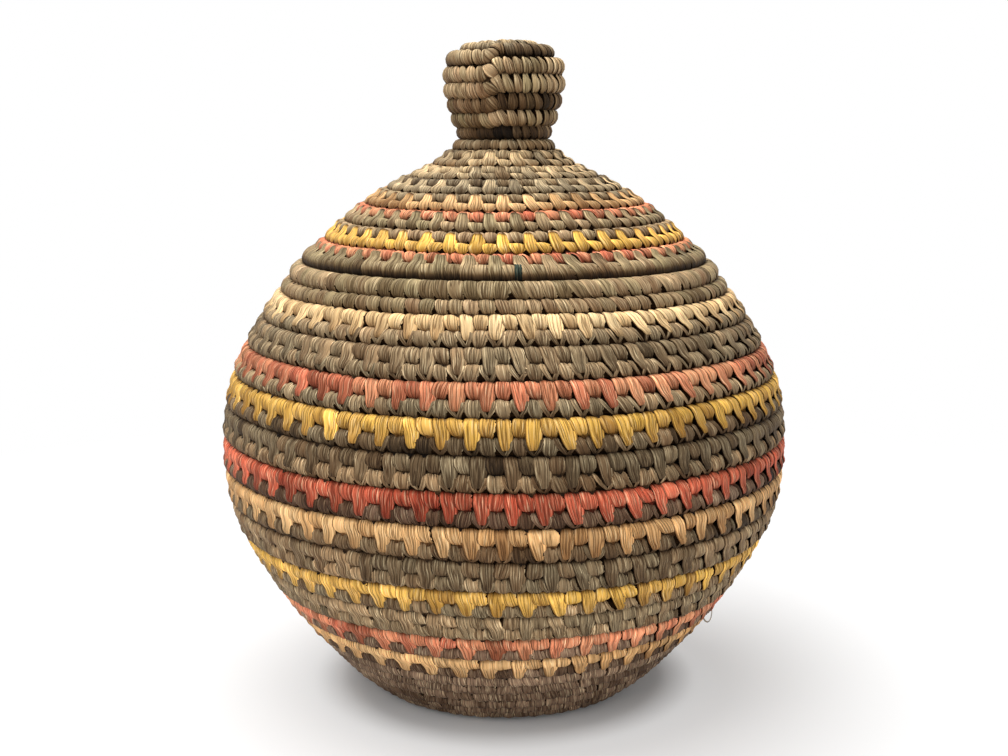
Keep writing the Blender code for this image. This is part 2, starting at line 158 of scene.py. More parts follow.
# A sewn piece: its CAD node, its material slot, its dye and its first and last row.
# The wall's rows count from the rim down.
WALL_PIECES = (
    ("basket_rim_coil", "olive_grass", "olive", 0, 2),
    ("wall_cream_coil_upper", "cream_grass", "cream", 2, 3),
    ("wall_dark_coil_shoulder", "dark_grass", "dark", 3, 6),
    ("wall_red_coil_upper", "red_grass", "coral", 6, 7),
    ("wall_dark_coil_upper_thread", "dark_grass", "dark", 7, 8),
    ("wall_yellow_coil_upper", "yellow_grass", "yellow", 8, 9),
    ("wall_dark_coil_upper_belly", "dark_grass", "dark", 9, 12),
    ("wall_red_coil_belly", "red_grass", "brick", 12, 13),
    ("wall_grey_coil_belly", "grey_grass", "grey", 13, 14),
    ("wall_cream_coil_belly", "cream_grass", "straw", 14, 15),
    ("wall_dark_coil_lower_belly", "dark_grass", "dark", 15, 18),
    ("wall_yellow_coil_lower", "yellow_grass", "yellow", 18, 19),
    ("wall_dark_coil_lower", "dark_grass", "dark", 19, 22),
    ("wall_red_coil_lower", "red_grass", "coral", 22, 23),
    ("wall_grey_coil_lower", "grey_grass", "grey", 23, 24),
    ("wall_cream_coil_lower", "cream_grass", "straw", 24, 25),
    ("wall_dark_coil_foot", "brown_grass", "brown", 25, None),
)

# The lid's rows count from its edge up
LID_PIECES = (
    ("lid_edge_coil", "olive_grass", "olive", 0, 1),
    ("lid_red_coil_outer", "red_grass", "coral", 1, 2),
    ("lid_yellow_coil", "yellow_grass", "yellow", 2, 3),
    ("lid_dark_coil", "olive_grass", "olive", 3, 5),
    ("lid_red_coil_inner", "red_grass", "coral", 5, 6),
    ("lid_tan_coil", "tan_grass", "tan", 6, 7),
    ("lid_shoulder_coil", "grey_grass", "beige", 7, None),
)
KNOB_CROWN_ROWS = 3
NARROW_FROM = 14
FLANGE_ROWS = 2

# How far a long strip runs between two coils, as a share of their thickness
CROSSING_SHARE = 0.35
CROSSING_ANGLE = math.degrees(2 * CROSSING_SHARE * math.cos(math.pi / SECTION_SIDES))

# The rim and the lid's edge are wrapped more smoothly than the other rows
WRAPPED_ROWS = (-1, 0)
WRAPPED_RELIEF = 0.5
WRAPPED_OVERLAP = 0.12
# Their strips show less of the painted light and shade from edge to edge
WRAPPED_SIDE = 0.42
WRAPPED_HALF_WIDTH = 0.5
WRAPPED_OPEN_ANGLE = 45
LID_OPEN_ANGLE = 30

# How wide the strips are, as shares of the place that each has on its row
LONG_WIDTH = 1.06
SHORT_WIDTH = 1.16
PLAIN_WIDTH = 1.1
SPLIT_WIDTH = 1.12
KNOB_WIDTH = 0.98
INNER_WIDTH = 0.98
KNOB_FULLNESS = 1.12

# How unevenly the strips are sewn and dyed
DRIFT_SPREAD = 0.045
SWELL_SPREAD = 0.06
SWAY_SPREAD = 8.0
CURL_SPREAD = 0.05
SHADE_SPREAD = 0.12
FADE_SPREAD = 0.22
SHADE_RANGE = (-0.25, 1.0)
PROUD_RANGE = (0.85, 1.15)
PLEAT_RANGE = (3.0, 6.0)
EDGE_PROUD_SHARE = 0.35

# Lighter and paler patches along each row
PATCH_COUNT = 3
PATCH_SHADE = 0.06
PATCH_FADE = 0.2

# The strips start to lean more here, in degrees right of the front, and do so in full after a span
LEAN_FROM = -5
LEAN_SPAN = 30

# How far the strips start apart in the pattern of their fibres, across and along
PATTERN_SPREAD = (0.7, 0.3)

# Where painted shade falls round the lid's edge, below its middle: angles, and shares of the way down a
# strip
EDGE_FALL = ((-90, -58, -46, -36, -24, -8, 20, 100), (1.0, 1.0, 0.95, 0.86, 0.66, 0.42, 0.2, 0.17))

# How far down a long strip's tip counts for its painted light, and an inner strip's middle and ends
LONG_TIP_FALL = 0.7
INNER_FALL = (0.5, 0.9)

# Rows whose long strips reach over the next row, counted from the rim or the lid's edge
WALL_LONG_ROWS = tuple(range(2, 25, 2))
LID_LONG_ROWS = tuple(range(0, 14, 2))

# How far each row's strips lean from the first colour of their dye to the second
WALL_FADES = {0: 0.35, 1: 0.45, 4: 0.35, 5: 0.3, 7: 0.25, 9: 0.2, 10: 0.1, 11: 0.75, 17: 0.4}
LID_FADES = {0: 0.2, 3: 0.75, 4: 0.35, 7: 0.55, 8: 0.15, 9: 0.1, 10: 0.5, 11: 0.7, 12: 0.8, 13: 0.6}
USUAL_FADE = 0.45

# How light each row's strips are, where 0.5 is usual: own tone and painted light and shade
WALL_SHADES = (
    0.4, 0.31, 0.38, 0.62, 0.4, 0.57, 0.38, 0.53, 0.34, 0.14, 0.15, 0.32, 0.39, 0.07, 0.33, 0.11, 0.3,
    0.38, 0.37, 0.34, 0.47, 0.41, 0.43, 0.23, 0.34, 0.05, 0.48, 0.31, 0.31,
)
LID_SHADES = (
    0.27, 0.76, 0.5, 0.6, 0.49, 0.84, 0.4, 0.48, 0.7, 0.43, 0.63, 0.92, 0.49, 0.57, 0.22, -0.12, 0.22,
    0.0, 0.38, 0.46, 0.34, 0.98, 0.98,
)
USUAL_SHADE = 0.5

# Each dye has a first and a second colour, between which its strips vary
DYES = {
    "olive": ("Olive", (150, 132, 96), (176, 144, 108)),
    "dark": ("Dark", (122, 106, 80), (152, 122, 88)),
    "cream": ("Cream", (228, 188, 132), (240, 208, 156)),
    "straw": ("Straw", (216, 164, 106), (228, 184, 128)),
    "coral": ("Coral", (192, 102, 74), (214, 148, 106)),
    "brick": ("Brick", (182, 78, 54), (196, 100, 72)),
    "yellow": ("Yellow", (232, 182, 82), (222, 172, 88)),
    "grey": ("Grey", (122, 96, 78), (146, 116, 92)),
    "brown": ("Brown", (120, 96, 76), (138, 112, 90)),
    "tan": ("Tan", (210, 162, 106), (222, 178, 124)),
    "beige": ("Beige", (136, 120, 94), (204, 174, 130)),
    "thread": ("Thread", (42, 54, 46), (54, 66, 56)),
    "strand": ("Loose strand", (190, 182, 170), (170, 162, 150)),
    # The bundle is near black as painted shade where it shows between the strips
    "core": ("Bundle", (20, 13, 8), (50, 34, 20)),
}
# Pale fibres, lightened on the ridges as a painted sheen
FLECKS_AND_SHEEN = (226, 206, 166)
# The warm tint of painted shade in the strips' folds and between them
PAINTED_SHADE_TINT = (255, 218, 184)
WHITE = (1.0, 1.0, 1.0, 1.0)

# How light a strip is across: painted highlight on its turned edges, painted shade at its very edges
SIDE_LIGHT = (
    (0.0, 0.12), (0.04, 0.5), (0.08, 0.98), (0.14, 1.34), (0.24, 0.98), (0.5, 0.86), (0.75, 0.8),
    (0.87, 1.12), (0.93, 0.8), (0.97, 0.4), (1.0, 0.1),
)

# How light a strip is from its upper end to its lower one, as painted light and shade:
FALL_LIGHT = (
    # dark at the upper end, a painted highlight below it, then darker to where it turns under the next row
    (0.0, 0.06), (0.08, 0.26), (0.12, 0.7), (0.18, 1.34), (0.28, 1.28), (0.46, 0.98), (0.66, 0.66),
    (0.82, 0.38), (0.92, 0.18), (1.0, 0.07),
)

# How light the folds along a strip are: painted shade in the creases, painted light on the ridges
RIDGES = (
    (0.0, 0.85), (0.35, 0.75), (0.42, 0.0), (0.48, 0.6), (0.56, 1.0), (0.66, 0.6), (1.0, 0.9),
)
FOLD_STRETCH = 0.4
FIBRE_DETAIL = 2.0

# What the folds and the fibres add to a strip's relief and to the light painted into its colour
RIDGE_HEIGHT = 0.7
FIBRE_HEIGHT = 0.3
RIDGE_LIGHT = 0.65
FIBRE_LIGHT = 0.55
PATTERN_LIGHT = 0.68
STRIP_LIGHT = 1.3
DARKEST_STRIP = 0.35
SHADE_LIGHT = 1.3
PALE_FIBRES = {"From Min": 0.53, "From Max": 0.7, "To Max": 0.5}
STRIP_ROUGHNESS = 0.5
FIBRE_ROUGHNESS = 0.3

# The stems of the bundle, and the light painted on them, low as painted shade between strips
STEM_LENGTH = 0.012
STEM_WIDTH = 0.00045
STEM_DETAIL = 3.0
STEM_DEPTH = 0.0006
STEM_LIGHT = 1.1
CORE_LIGHT = 0.12
DULL = 0.9
STREAK_SCALE = 900.0

# The stage: the lamps stand in these directions and spread over these angles
LAMPS = (
    ("top_lamp", (-0.24, 0.08, 1.0), 54.0),
    ("front_lamp", (-0.45, -0.8, 0.75), 40.0),
    ("side_lamp", (0.9, -0.6, 0.6), 60.0),
)
SENSOR_WIDTH = 36.0
NEAREST = 0.01
FLOOR_HALF_SIZE = 4.0
FLOOR_COLOUR = (0.92, 0.92, 0.92, 1.0)

# How far the floor has faded to the backdrop's white, by the distance from the basket's middle:
# this glow is painted light that lifts the shadow round the foot, which stays dark close to it
FADE_RADIUS = 0.45
PAINTED_FLOOR_GLOW = (
    (0.0, 0.04), (0.12, 0.05), (0.15, 0.46), (0.19, 0.44), (0.3, 0.3), (0.6, 0.7), (1.0, 1.0),
)


def between(low, high, share):
    """Return the value at a share of the way from low to high."""
    return low + (high - low) * share


def smooth_step(share):
    """Return a share from 0 to 1 that starts and ends level."""
    share = np.clip(share, 0.0, 1.0)
    return share * share * (3 - 2 * share)


def pressed(height):
    """Return a height as it lies once the basket's weight presses its base flat on the floor."""
    return np.where(height < PRESS_HEIGHT, between(PRESS_HEIGHT, height, PRESS_SHARE), height)


def half_depth(thickness):
    """Return the radius of the six-sided solid that is as thick as given across its flats."""
    return thickness / 2 / math.cos(math.pi / SECTION_SIDES)


class Outline:
    """A smooth curve in the radius and height plane, read by the length along it."""

    def __init__(self, points, side):
        points = np.array(points)
        steps = np.linalg.norm(np.diff(points, axis=0), axis=1)
        slopes = np.diff(points, axis=0) / steps[:, None]
        tangents = np.vstack([slopes[:1], slopes])
        weights = (steps[1:] / (steps[1:] + steps[:-1]))[:, None]
        tangents[1:-1] = slopes[:-1] * weights + slopes[1:] * (1 - weights)
        share = np.linspace(0, 1, OUTLINE_SAMPLES, endpoint=False)[:, None]
        stretches = []
        for index, step in enumerate(steps):
            start, end = points[index], points[index + 1]
            lead_in, lead_out = tangents[index] * step, tangents[index + 1] * step
            stretches.append(
                start * (1 + 2 * share) * (1 - share) ** 2
                + lead_in * share * (1 - share) ** 2
                + end * share**2 * (3 - 2 * share)
                + lead_out * share**2 * (share - 1)
            )
        self.points = np.vstack(stretches + [points[-1:]])
        self.side = side
        lengths = np.linalg.norm(np.diff(self.points, axis=0), axis=1)
        self.length = np.concatenate([[0.0], np.cumsum(lengths)])
        self.knots = self.length[::OUTLINE_SAMPLES]
        heading = np.gradient(self.points, self.length, axis=0)
        self.heading = heading / np.linalg.norm(heading, axis=1)[:, None]

    def place(self, along):
        """Return the radius and height at a length, straight on before the curve's start."""
        before = np.minimum(along, 0.0)
        return [
            np.interp(along, self.length, self.points[:, axis]) + before * self.heading[0][axis]
            for axis in (0, 1)
        ]

    def direction(self, along):
        """Return the run and rise of the way along at a length."""
        run, rise = (np.interp(along, self.length, self.heading[:, axis]) for axis in (0, 1))
        size = np.hypot(run, rise)
        return run / size, rise / size

    def outward(self, along):
        """Return the angle of the outer face at a length, from level towards up."""
        run, rise = self.direction(along)
        return math.atan2(run * self.side, -rise * self.side)


class Coil:
    """A bundle that winds along an outline, one row to a turn, counted from its edge."""

    def __init__(self, outline, thicknesses, start_azimuth, handedness):
        self.outline = outline
        self.thicknesses = np.array(thicknesses)
        self.start_azimuth = start_azimuth
        self.handedness = handedness
        self.step_from = math.inf
        self.last_tipped = 0
        self.waver_span = None
        self.end = math.inf
        rows = [0.0]
        for last, following in zip(thicknesses, thicknesses[1:]):
            rows.append(self.next_row(rows[-1], last, following))
        self.rows = np.array(rows)

    def next_row(self, along, last, following):
        """Return where the next row lies, as on the solid."""
        start = np.array(self.outline.place(along))
        outward = self.outline.outward(along)
        step = (last + following) / 2 + ROW_GAP
        turn_length = 2 * math.pi * max(start[0], step)
        slant = math.hypot(1.0, STEEPEST_CLIMB_SHARE * step / turn_length)
        flattened = math.cos(math.pi / TURN_POINTS)
        flat_angle = math.pi / SECTION_SIDES
        for _ in range(SPACING_PASSES):
            bend = min(abs(self.outline.outward(along + step) - outward) / 2, flat_angle)
            reach = half_depth(last + following) * math.cos(flat_angle - bend)
            chord = np.linalg.norm(np.array(self.outline.place(along + step)) - start)
            step += (reach + ROW_GAP) * slant / flattened - chord
        return along + step

    def climbed(self, turns):
        """Return how many rows the bundle has climbed after some turns."""
        whole = np.floor(turns)
        share = turns - whole
        plain = smooth_step((share - CLIMB_START_SHARE) / (1 - CLIMB_START_SHARE))
        stepped = smooth_step((share - KNOB_STEP_AT) / KNOB_STEP_WIDTH)
        weight = KNOB_STEP_SHARE * np.clip((turns - self.step_from) / KNOB_STEP_ROWS, 0.0, 1.0)
        return whole + between(plain, stepped, weight)

    def section(self, turns):
        """Return the length along the outline and the coil's thickness after some turns."""
        turns = np.asarray(turns, dtype=float)
        numbers = np.arange(len(self.rows))
        climbed = self.climbed(turns)
        along = np.interp(climbed, numbers, self.rows)
        thickness = np.interp(climbed, numbers, self.thicknesses)
        tail = (climbed + 1) * (self.thicknesses[0] + ROW_GAP) - ROW_GAP
        along = np.where(turns < 0, (tail - self.thicknesses[0]) / 2, along)
        thickness = np.where(turns < 0, tail, thickness)
        if self.waver_span:
            along = along + self.waver(along, turns)
        ripeness = np.clip((self.end - turns) / START_TURN_COUNT, 0.0, 1.0)
        return along, thickness * between(START_THICKNESS_SHARE, 1.0, ripeness)

    def waver(self, along, turns):
        """Return how far a row strays from its even place, as a hand lays it."""
        azimuth = 2 * math.pi * turns
        fade = smooth_step(along / WAVER_FADE) * smooth_step((self.waver_span - along) / WAVER_FADE)
        waves = (
            share * np.sin(count * azimuth + twist * along + start)
            for share, count, twist, start in WAVES
        )
        return WAVER * fade * sum(waves)

    def middle(self, turns):
        """Return the place of the coil's middle after some turns."""
        radius, height = self.outline.place(self.section(turns)[0])
        azimuth = self.start_azimuth + self.handedness * 2 * math.pi * np.asarray(turns)
        return np.stack([radius * np.cos(azimuth), radius * np.sin(azimuth), height], axis=-1)

    def frames(self, turns):
        """Return the coil's middles, directions out, directions to the next row, and thicknesses."""
        turns = np.asarray(turns, dtype=float)
        along, thickness = self.section(turns)
        step = 1e-3
        forward = self.middle(turns + step) - self.middle(turns - step)
        forward /= np.linalg.norm(forward, axis=-1, keepdims=True)
        run, rise = self.outline.direction(along)
        azimuth = self.start_azimuth + self.handedness * 2 * math.pi * turns
        onward = np.stack([run * np.cos(azimuth), run * np.sin(azimuth), rise], axis=-1)
        onward -= (onward * forward).sum(axis=-1, keepdims=True) * forward
        onward /= np.linalg.norm(onward, axis=-1, keepdims=True)
        return self.middle(turns), np.cross(forward, onward), onward, thickness

    def around(self, turns, angles, radius):
        """Return points round the coil, at some turns, angles and distances from its middle."""
        centre, out, onward, _ = self.frames(turns)
        side = np.cos(angles)[..., None] * out + np.sin(angles)[..., None] * onward
        return centre + side * radius[..., None]

    def girth(self, turns):
        """Return the length of a turn at some turns."""
        return 2 * math.pi * np.maximum(self.outline.place(self.section(turns)[0])[0], MILLIMETRE)

    def close_middle(self, points_per_turn):
        """Set the turns at which the bundle has its start, close to the outline's end."""
        start_radius = START_RADIUS_SHARE * (self.thicknesses[-1] + ROW_GAP)
        turns = 1.0
        while self.outline.place(self.section(turns)[0])[0] > start_radius:
            turns += 1 / points_per_turn
        self.end = turns


def wall_coil():
    """Return the basket's coil and its turns where the wall has come down to the floor."""
    floor = half_depth(COIL_THICKNESS) * (1 - 2 * FLAT_CUT_SHARE)
    points = [(RIM_RADIUS, RIM_HEIGHT)]
    for out_share, up_share in UPPER_WALL_SHARES:
        radius = between(RIM_RADIUS, BELLY_RADIUS, out_share)
        points.append((radius, between(BELLY_HEIGHT, RIM_HEIGHT, up_share)))
    points.append((BELLY_RADIUS, BELLY_HEIGHT))
    for out_share, up_share in LOWER_WALL_SHARES:
        radius = between(FOOT_RADIUS, BELLY_RADIUS, out_share)
        points.append((radius, between(floor, BELLY_HEIGHT, up_share)))
    points.append((FOOT_RADIUS, floor))
    foot_index = len(points) - 1
    points.extend((FOOT_RADIUS * share, floor) for share in BASE_SHARES)
    outline = Outline(points, side=1)
    rows = math.ceil(outline.length[-1] / (COIL_THICKNESS + ROW_GAP)) + 2
    coil = Coil(outline, [RIM_THICKNESS] + [COIL_THICKNESS] * rows, 0.0, -1)
    foot_turns = int(np.searchsorted(coil.rows, outline.knots[foot_index]))
    coil.close_middle(TURN_POINTS)
    coil.last_tipped = foot_turns
    coil.waver_span = outline.knots[foot_index]
    return coil, foot_turns


def seat_place():
    """Return the middle of the lid's edge coil where it leans on the rim coil inside."""
    corner_step = 2 * math.pi / SECTION_SIDES

    def reach(thickness, outward, direction):
        turned = (direction - outward) % corner_step
        return half_depth(thickness) * math.cos(min(turned, corner_step - turned))

    rim_outward = math.atan2(
        (BELLY_RADIUS - RIM_RADIUS) * UPPER_WALL_SHARES[0][0],
        (RIM_HEIGHT - BELLY_HEIGHT) * (1 - UPPER_WALL_SHARES[0][1]),
    )
    cone_outward = math.atan2(
        (RIM_RADIUS - NECK_RADIUS) * (1 - CONE_SHARES[0][0]), LID_RISE * CONE_SHARES[0][1]
    )
    lean = math.radians(SEAT_ANGLE)
    spacing = reach(RIM_THICKNESS, rim_outward, lean) + SEAT_CLEARANCE
    spacing += reach(LID_EDGE_THICKNESS, cone_outward, lean + math.pi)
    return RIM_RADIUS + spacing * math.cos(lean), RIM_HEIGHT + spacing * math.sin(lean)


def lid_coil():
    """Return the lid's coil and its turns at the neck, where the knob's coil starts."""
    edge_radius, edge_height = seat_place()
    neck_height = edge_height + LID_RISE
    points = [(edge_radius, edge_height)]
    for out_share, up_share in CONE_SHARES:
        radius = between(NECK_RADIUS, edge_radius, out_share)
        points.append((radius, edge_height + LID_RISE * up_share))
    points.append((NECK_RADIUS, neck_height))
    neck_index = len(points) - 1
    for out_share, up_share in KNOB_WALL_SHARES:
        radius = between(NECK_RADIUS, KNOB_RADIUS, out_share)
        points.append((radius, neck_height + KNOB_RISE * up_share))
    for out_share, up_share in KNOB_CROWN_SHARES:
        points.append((KNOB_RADIUS * out_share, neck_height + KNOB_RISE * up_share))
    points.append((0.0, neck_height + KNOB_RISE))
    outline = Outline(points, side=-1)
    fine_rows = round(outline.knots[neck_index] / (LID_COIL_THICKNESS + ROW_GAP))
    knob_length = outline.length[-1] - outline.knots[neck_index]
    knob_rows = math.ceil(knob_length / (KNOB_COIL_THICKNESS + ROW_GAP)) + 3
    thicknesses = [LID_EDGE_THICKNESS] + [LID_COIL_THICKNESS] * fine_rows
    thicknesses += [KNOB_COIL_THICKNESS] * knob_rows
    coil = Coil(outline, thicknesses, math.pi, 1)
    coil.close_middle(KNOB_TURN_POINTS)
    coil.step_from = fine_rows
    coil.last_tipped = math.floor(coil.end) - KNOB_CROWN_ROWS
    coil.waver_span = outline.knots[neck_index]
    return coil, fine_rows + 1


def flange_coil():
    """Return the coil that hangs under the lid's edge and keeps the lid in the mouth."""
    edge_radius, edge_height = seat_place()
    depth = half_depth(COIL_THICKNESS)
    radius = RIM_RADIUS - half_depth(RIM_THICKNESS) - depth - FLANGE_CLEARANCE
    spacing = half_depth(LID_EDGE_THICKNESS) + depth + SEAT_CLEARANCE
    top = edge_height - math.sqrt(max(0.0, spacing**2 - (edge_radius - radius) ** 2))
    pitch = COIL_THICKNESS + ROW_GAP
    outline = Outline([(radius, top), (radius, top - pitch), (radius, top - 3 * pitch)], side=1)
    return Coil(outline, [COIL_THICKNESS] * (FLANGE_ROWS + 2), 0.0, -1)


def linear(red, green, blue):
    """Return a colour given in display numbers up to 255 as a linear colour."""
    shares = [value / 255 for value in (red, green, blue)]
    return [
        share / 12.92 if share <= 0.04045 else ((share + 0.055) / 1.055) ** 2.4 for share in shares
    ]


def dyed(dye):
    """Return the first and second colour of a dye."""
    colours = bpy.context.scene.basket_colours
    return [list(getattr(colours, f"{dye}_{which}")) + [1.0] for which in ("first", "second")]


class Field:
    """A shader socket that can be used in plain sums."""

    def __init__(self, shading, socket):
        self.shading = shading
        self.socket = socket

    def other(self, output):
        """Return another output of the same node."""
        return Field(self.shading, self.socket.node.outputs[output])

    def joined(self, operation, first, second):
        """Return the outcome of a Math node on two values."""
        return self.shading.node("ShaderNodeMath", {"operation": operation}, {0: first, 1: second})

    def __add__(self, other):
        return self.joined("ADD", self, other)

    def __radd__(self, other):
        return self.joined("ADD", other, self)

    def __mul__(self, other):
        return self.joined("MULTIPLY", self, other)

    def __rmul__(self, other):
        return self.joined("MULTIPLY", other, self)


class Shading:
    """The nodes of one material or world, added one at a time."""

    def __init__(self, owner, shader, output):
        owner.use_nodes = True
        self.owner = owner
        self.tree = owner.node_tree
        self.shader = self.tree.nodes[shader]
        self.output = self.tree.nodes[output]
        self.lit = Field(self, self.shader.outputs[0])

    def fill(self, node, sockets):
        """Link a node's sockets to fields, or set them to plain values."""
        for key, value in sockets.items():
            if isinstance(value, Field):
                self.tree.links.new(value.socket, node.inputs[key])
            else:
                node.inputs[key].default_value = value

    def node(self, kind, settings=None, sockets=None, output=0):
        """Add a node, set it up, fill its sockets and return one of its outputs."""
        added = self.tree.nodes.new(kind)
        for name, value in (settings or {}).items():
            if name == "stops":
                set_stops(added.color_ramp.elements, value)
            else:
                setattr(added, name, value)
        self.fill(added, sockets or {})
        return Field(self, added.outputs[output])

    def mix(self, share, first, second):
        """Return a colour between two colours."""
        sockets = {"Factor": share, 6: first, 7: second}
        return self.node("ShaderNodeMix", {"data_type": "RGBA"}, sockets, 2)

    def scaled(self, vector, factors):
        """Return a vector whose parts are multiplied by factors."""
        return self.node("ShaderNodeVectorMath", {"operation": "MULTIPLY"}, {0: vector, 1: factors})

    def dimmed(self, colour, share):
        """Return a colour multiplied by a value."""
        return self.node("ShaderNodeVectorMath", {"operation": "SCALE"}, {0: colour, "Scale": share})

    def curve(self, value, stops):
        """Return a value read off a ramp of grey stops."""
        return self.node("ShaderNodeValToRGB", {"stops": stops}, {0: value})

    def noise(self, vector, detail):
        """Return flat noise over a vector."""
        sockets = {"Vector": vector, "Scale": 1.0, "Detail": detail}
        return self.node("ShaderNodeTexNoise", {"noise_dimensions": "2D"}, sockets)

    def bump(self, height, distance):
        """Return the normal of a surface with some relief."""
        sockets = {"Height": height, "Strength": 1.0, "Distance": distance}
        return self.node("ShaderNodeBump", None, sockets)

    def seen(self):
        """Return 1 for what the camera sees directly, in a reflection or through glass."""
        camera = self.node("ShaderNodeLightPath", None, None, "Is Camera Ray")
        glossy, through = camera.other("Is Glossy Ray"), camera.other("Is Transmission Ray")
        return self.node("ShaderNodeClamp", None, {"Value": camera + glossy + through})


def set_stops(elements, stops):
    """Give a ramp its grey stops."""
    for _ in stops[2:]:
        elements.new(0.5)
    for element, (place, grey) in zip(elements, stops):
        element.position = place
        element.color = (grey, grey, grey, 1.0)


def new_material(name):
    """Return the shading of a new material."""
    return Shading(bpy.data.materials.new(name), "Principled BSDF", "Material Output")


def strip_material(dye):
    """Return the material of split grass strips in one dye, with fibres along each strip and painted light
    and shade.
    """
    name = f"{dye}_strip"
    if name in bpy.data.materials:
        return bpy.data.materials[name]
    sizes, colours = bpy.context.scene.basket_sizes, bpy.context.scene.basket_colours
    shading = new_material(name)
    tone = shading.node("ShaderNodeAttribute", {"attribute_name": "strip_tone"})
    shade = shading.node("ShaderNodeSeparateColor", None, {0: tone})
    fade, fall, side = shade.other(1), shade.other(2), tone.other("Alpha")
    along = shading.node("ShaderNodeUVMap", {"uv_map": "strip_uv"})
    width, length_share = 1 / sizes.fibre_width, 1 / sizes.fibre_length
    fine = shading.noise(shading.scaled(along, (width, length_share, 0.0)), FIBRE_DETAIL)
    folds = (1 / sizes.fold_width, FOLD_STRETCH * length_share, 0.0)
    ridge = shading.curve(shading.noise(shading.scaled(along, folds), 0.0), RIDGES)
    contrast = sizes.fibre_contrast
    # The colour is multiplied by painted light: the folds, edges and ends of each strip, and each row's
    # shade
    light = (ridge * RIDGE_LIGHT + fine * FIBRE_LIGHT) * contrast
    light = (light + (STRIP_LIGHT - PATTERN_LIGHT * contrast)) * (shade * SHADE_LIGHT + DARKEST_STRIP)
    light = light * shading.curve(side, SIDE_LIGHT) * shading.curve(fall, FALL_LIGHT)
    smooth = {"interpolation_type": "SMOOTHSTEP"}
    pale = shading.node("ShaderNodeMapRange", smooth, {"Value": fine, **PALE_FIBRES})
    colour = shading.mix(fade, *dyed(dye))
    # Pale fibres on the ridges, lightened as a painted sheen
    colour = shading.mix(pale * ridge, colour, list(colours.flecks_and_sheen) + [1.0])
    # Where the painted light is low, the colour is tinted warm as painted shade
    shade_warmth = shading.mix(light, list(colours.painted_shade_tint) + [1.0], WHITE)
    height = ridge * RIDGE_HEIGHT + fine * FIBRE_HEIGHT
    shading.fill(shading.shader, {
        "Base Color": shading.dimmed(shading.scaled(colour, shade_warmth), light),
        "Roughness": STRIP_ROUGHNESS + fine * FIBRE_ROUGHNESS,
        "Specular IOR Level": sizes.gloss,
        "Normal": shading.bump(height, sizes.fibre_depth),
    })
    return shading.owner


def bundle_material():
    """Return the material of the bundle of stems, with fibres along the coil, dark as painted shade."""
    name = "bundle_stems"
    if name in bpy.data.materials:
        return bpy.data.materials[name]
    shading = new_material(name)
    along = shading.node("ShaderNodeUVMap", {"uv_map": "strip_uv"})
    stems = shading.noise(shading.scaled(along, (1 / STEM_LENGTH, 1 / STEM_WIDTH, 0.0)), STEM_DETAIL)
    colour = shading.mix(stems, *dyed("core"))
    shading.fill(shading.shader, {
        "Base Color": shading.dimmed(colour, stems * STEM_LIGHT + CORE_LIGHT),
        "Roughness": DULL,
        "Specular IOR Level": 0.0,
        "Normal": shading.bump(stems, STEM_DEPTH),
    })
    return shading.owner


def strand_material():
    """Return the grey material of the loose strand, with faint streaks."""
    shading = new_material("loose_strand_grass")
    spots = shading.node("ShaderNodeTexCoord", output="Object")
    streaks = shading.node("ShaderNodeTexNoise", None, {"Vector": spots, "Scale": STREAK_SCALE})
    shading.fill(shading.shader, {
        "Base Color": shading.mix(streaks, *dyed("strand")),
        "Roughness": STRIP_ROUGHNESS + streaks * FIBRE_ROUGHNESS,
    })
    return shading.owner


def floor_material():
    """Return a white floor that keeps the basket's shadow, lifted by a painted glow, and fades to the
    backdrop.
    """
    shading = new_material("white_floor")
    plain = {"Base Color": FLOOR_COLOUR, "Roughness": DULL, "Specular IOR Level": 0.0}
    shading.fill(shading.shader, plain)
    glow = shading.node("ShaderNodeEmission", None, {"Color": WHITE, "Strength": 1.0})
    spots = shading.node("ShaderNodeTexCoord", output="Object")
    away = shading.node("ShaderNodeVectorMath", {"operation": "LENGTH"}, {0: spots}, "Value")
    painted_glow = shading.curve(away * (1 / FADE_RADIUS), PAINTED_FLOOR_GLOW) * shading.seen()
    blend = shading.node("ShaderNodeMixShader", None, {0: painted_glow, 1: shading.lit, 2: glow})
    shading.fill(shading.output, {0: blend})
    return shading.owner


def soft_sky(strength):
    """Return a world that lights the basket from all round, before a white backdrop."""
    shading = Shading(bpy.data.worlds.new("soft_sky"), "Background", "World Output")
    shading.fill(shading.shader, {"Color": WHITE, "Strength": strength})
    white = shading.node("ShaderNodeBackground", None, {"Color": WHITE, "Strength": 1.0})
    backdrop = {0: shading.seen(), 1: shading.lit, 2: white}
    shading.fill(shading.output, {0: shading.node("ShaderNodeMixShader", None, backdrop)})
    return shading.owner


def strip_profile(own, half_width, lift, following=(), shift=0.0):
    """Return a strip's profile from angles round its own coil, and then round the next row."""
    crossed = len(following)
    on_own = len(own) - (crossed > 0)
    return {
        "own_angle": np.array(own + own[-1:] * max(0, crossed - 1), dtype=float),
        "next_angle": np.array(following[:1] * on_own + following if crossed else [0.0] * on_own),
        "crossing": np.array(([0.0] * on_own + [0.5] + [1.0] * crossed)[: on_own + crossed]),
        "half_width": np.array(half_width),
        "shift": np.zeros(len(lift)) + shift,
        "lift": np.array(lift),
    }


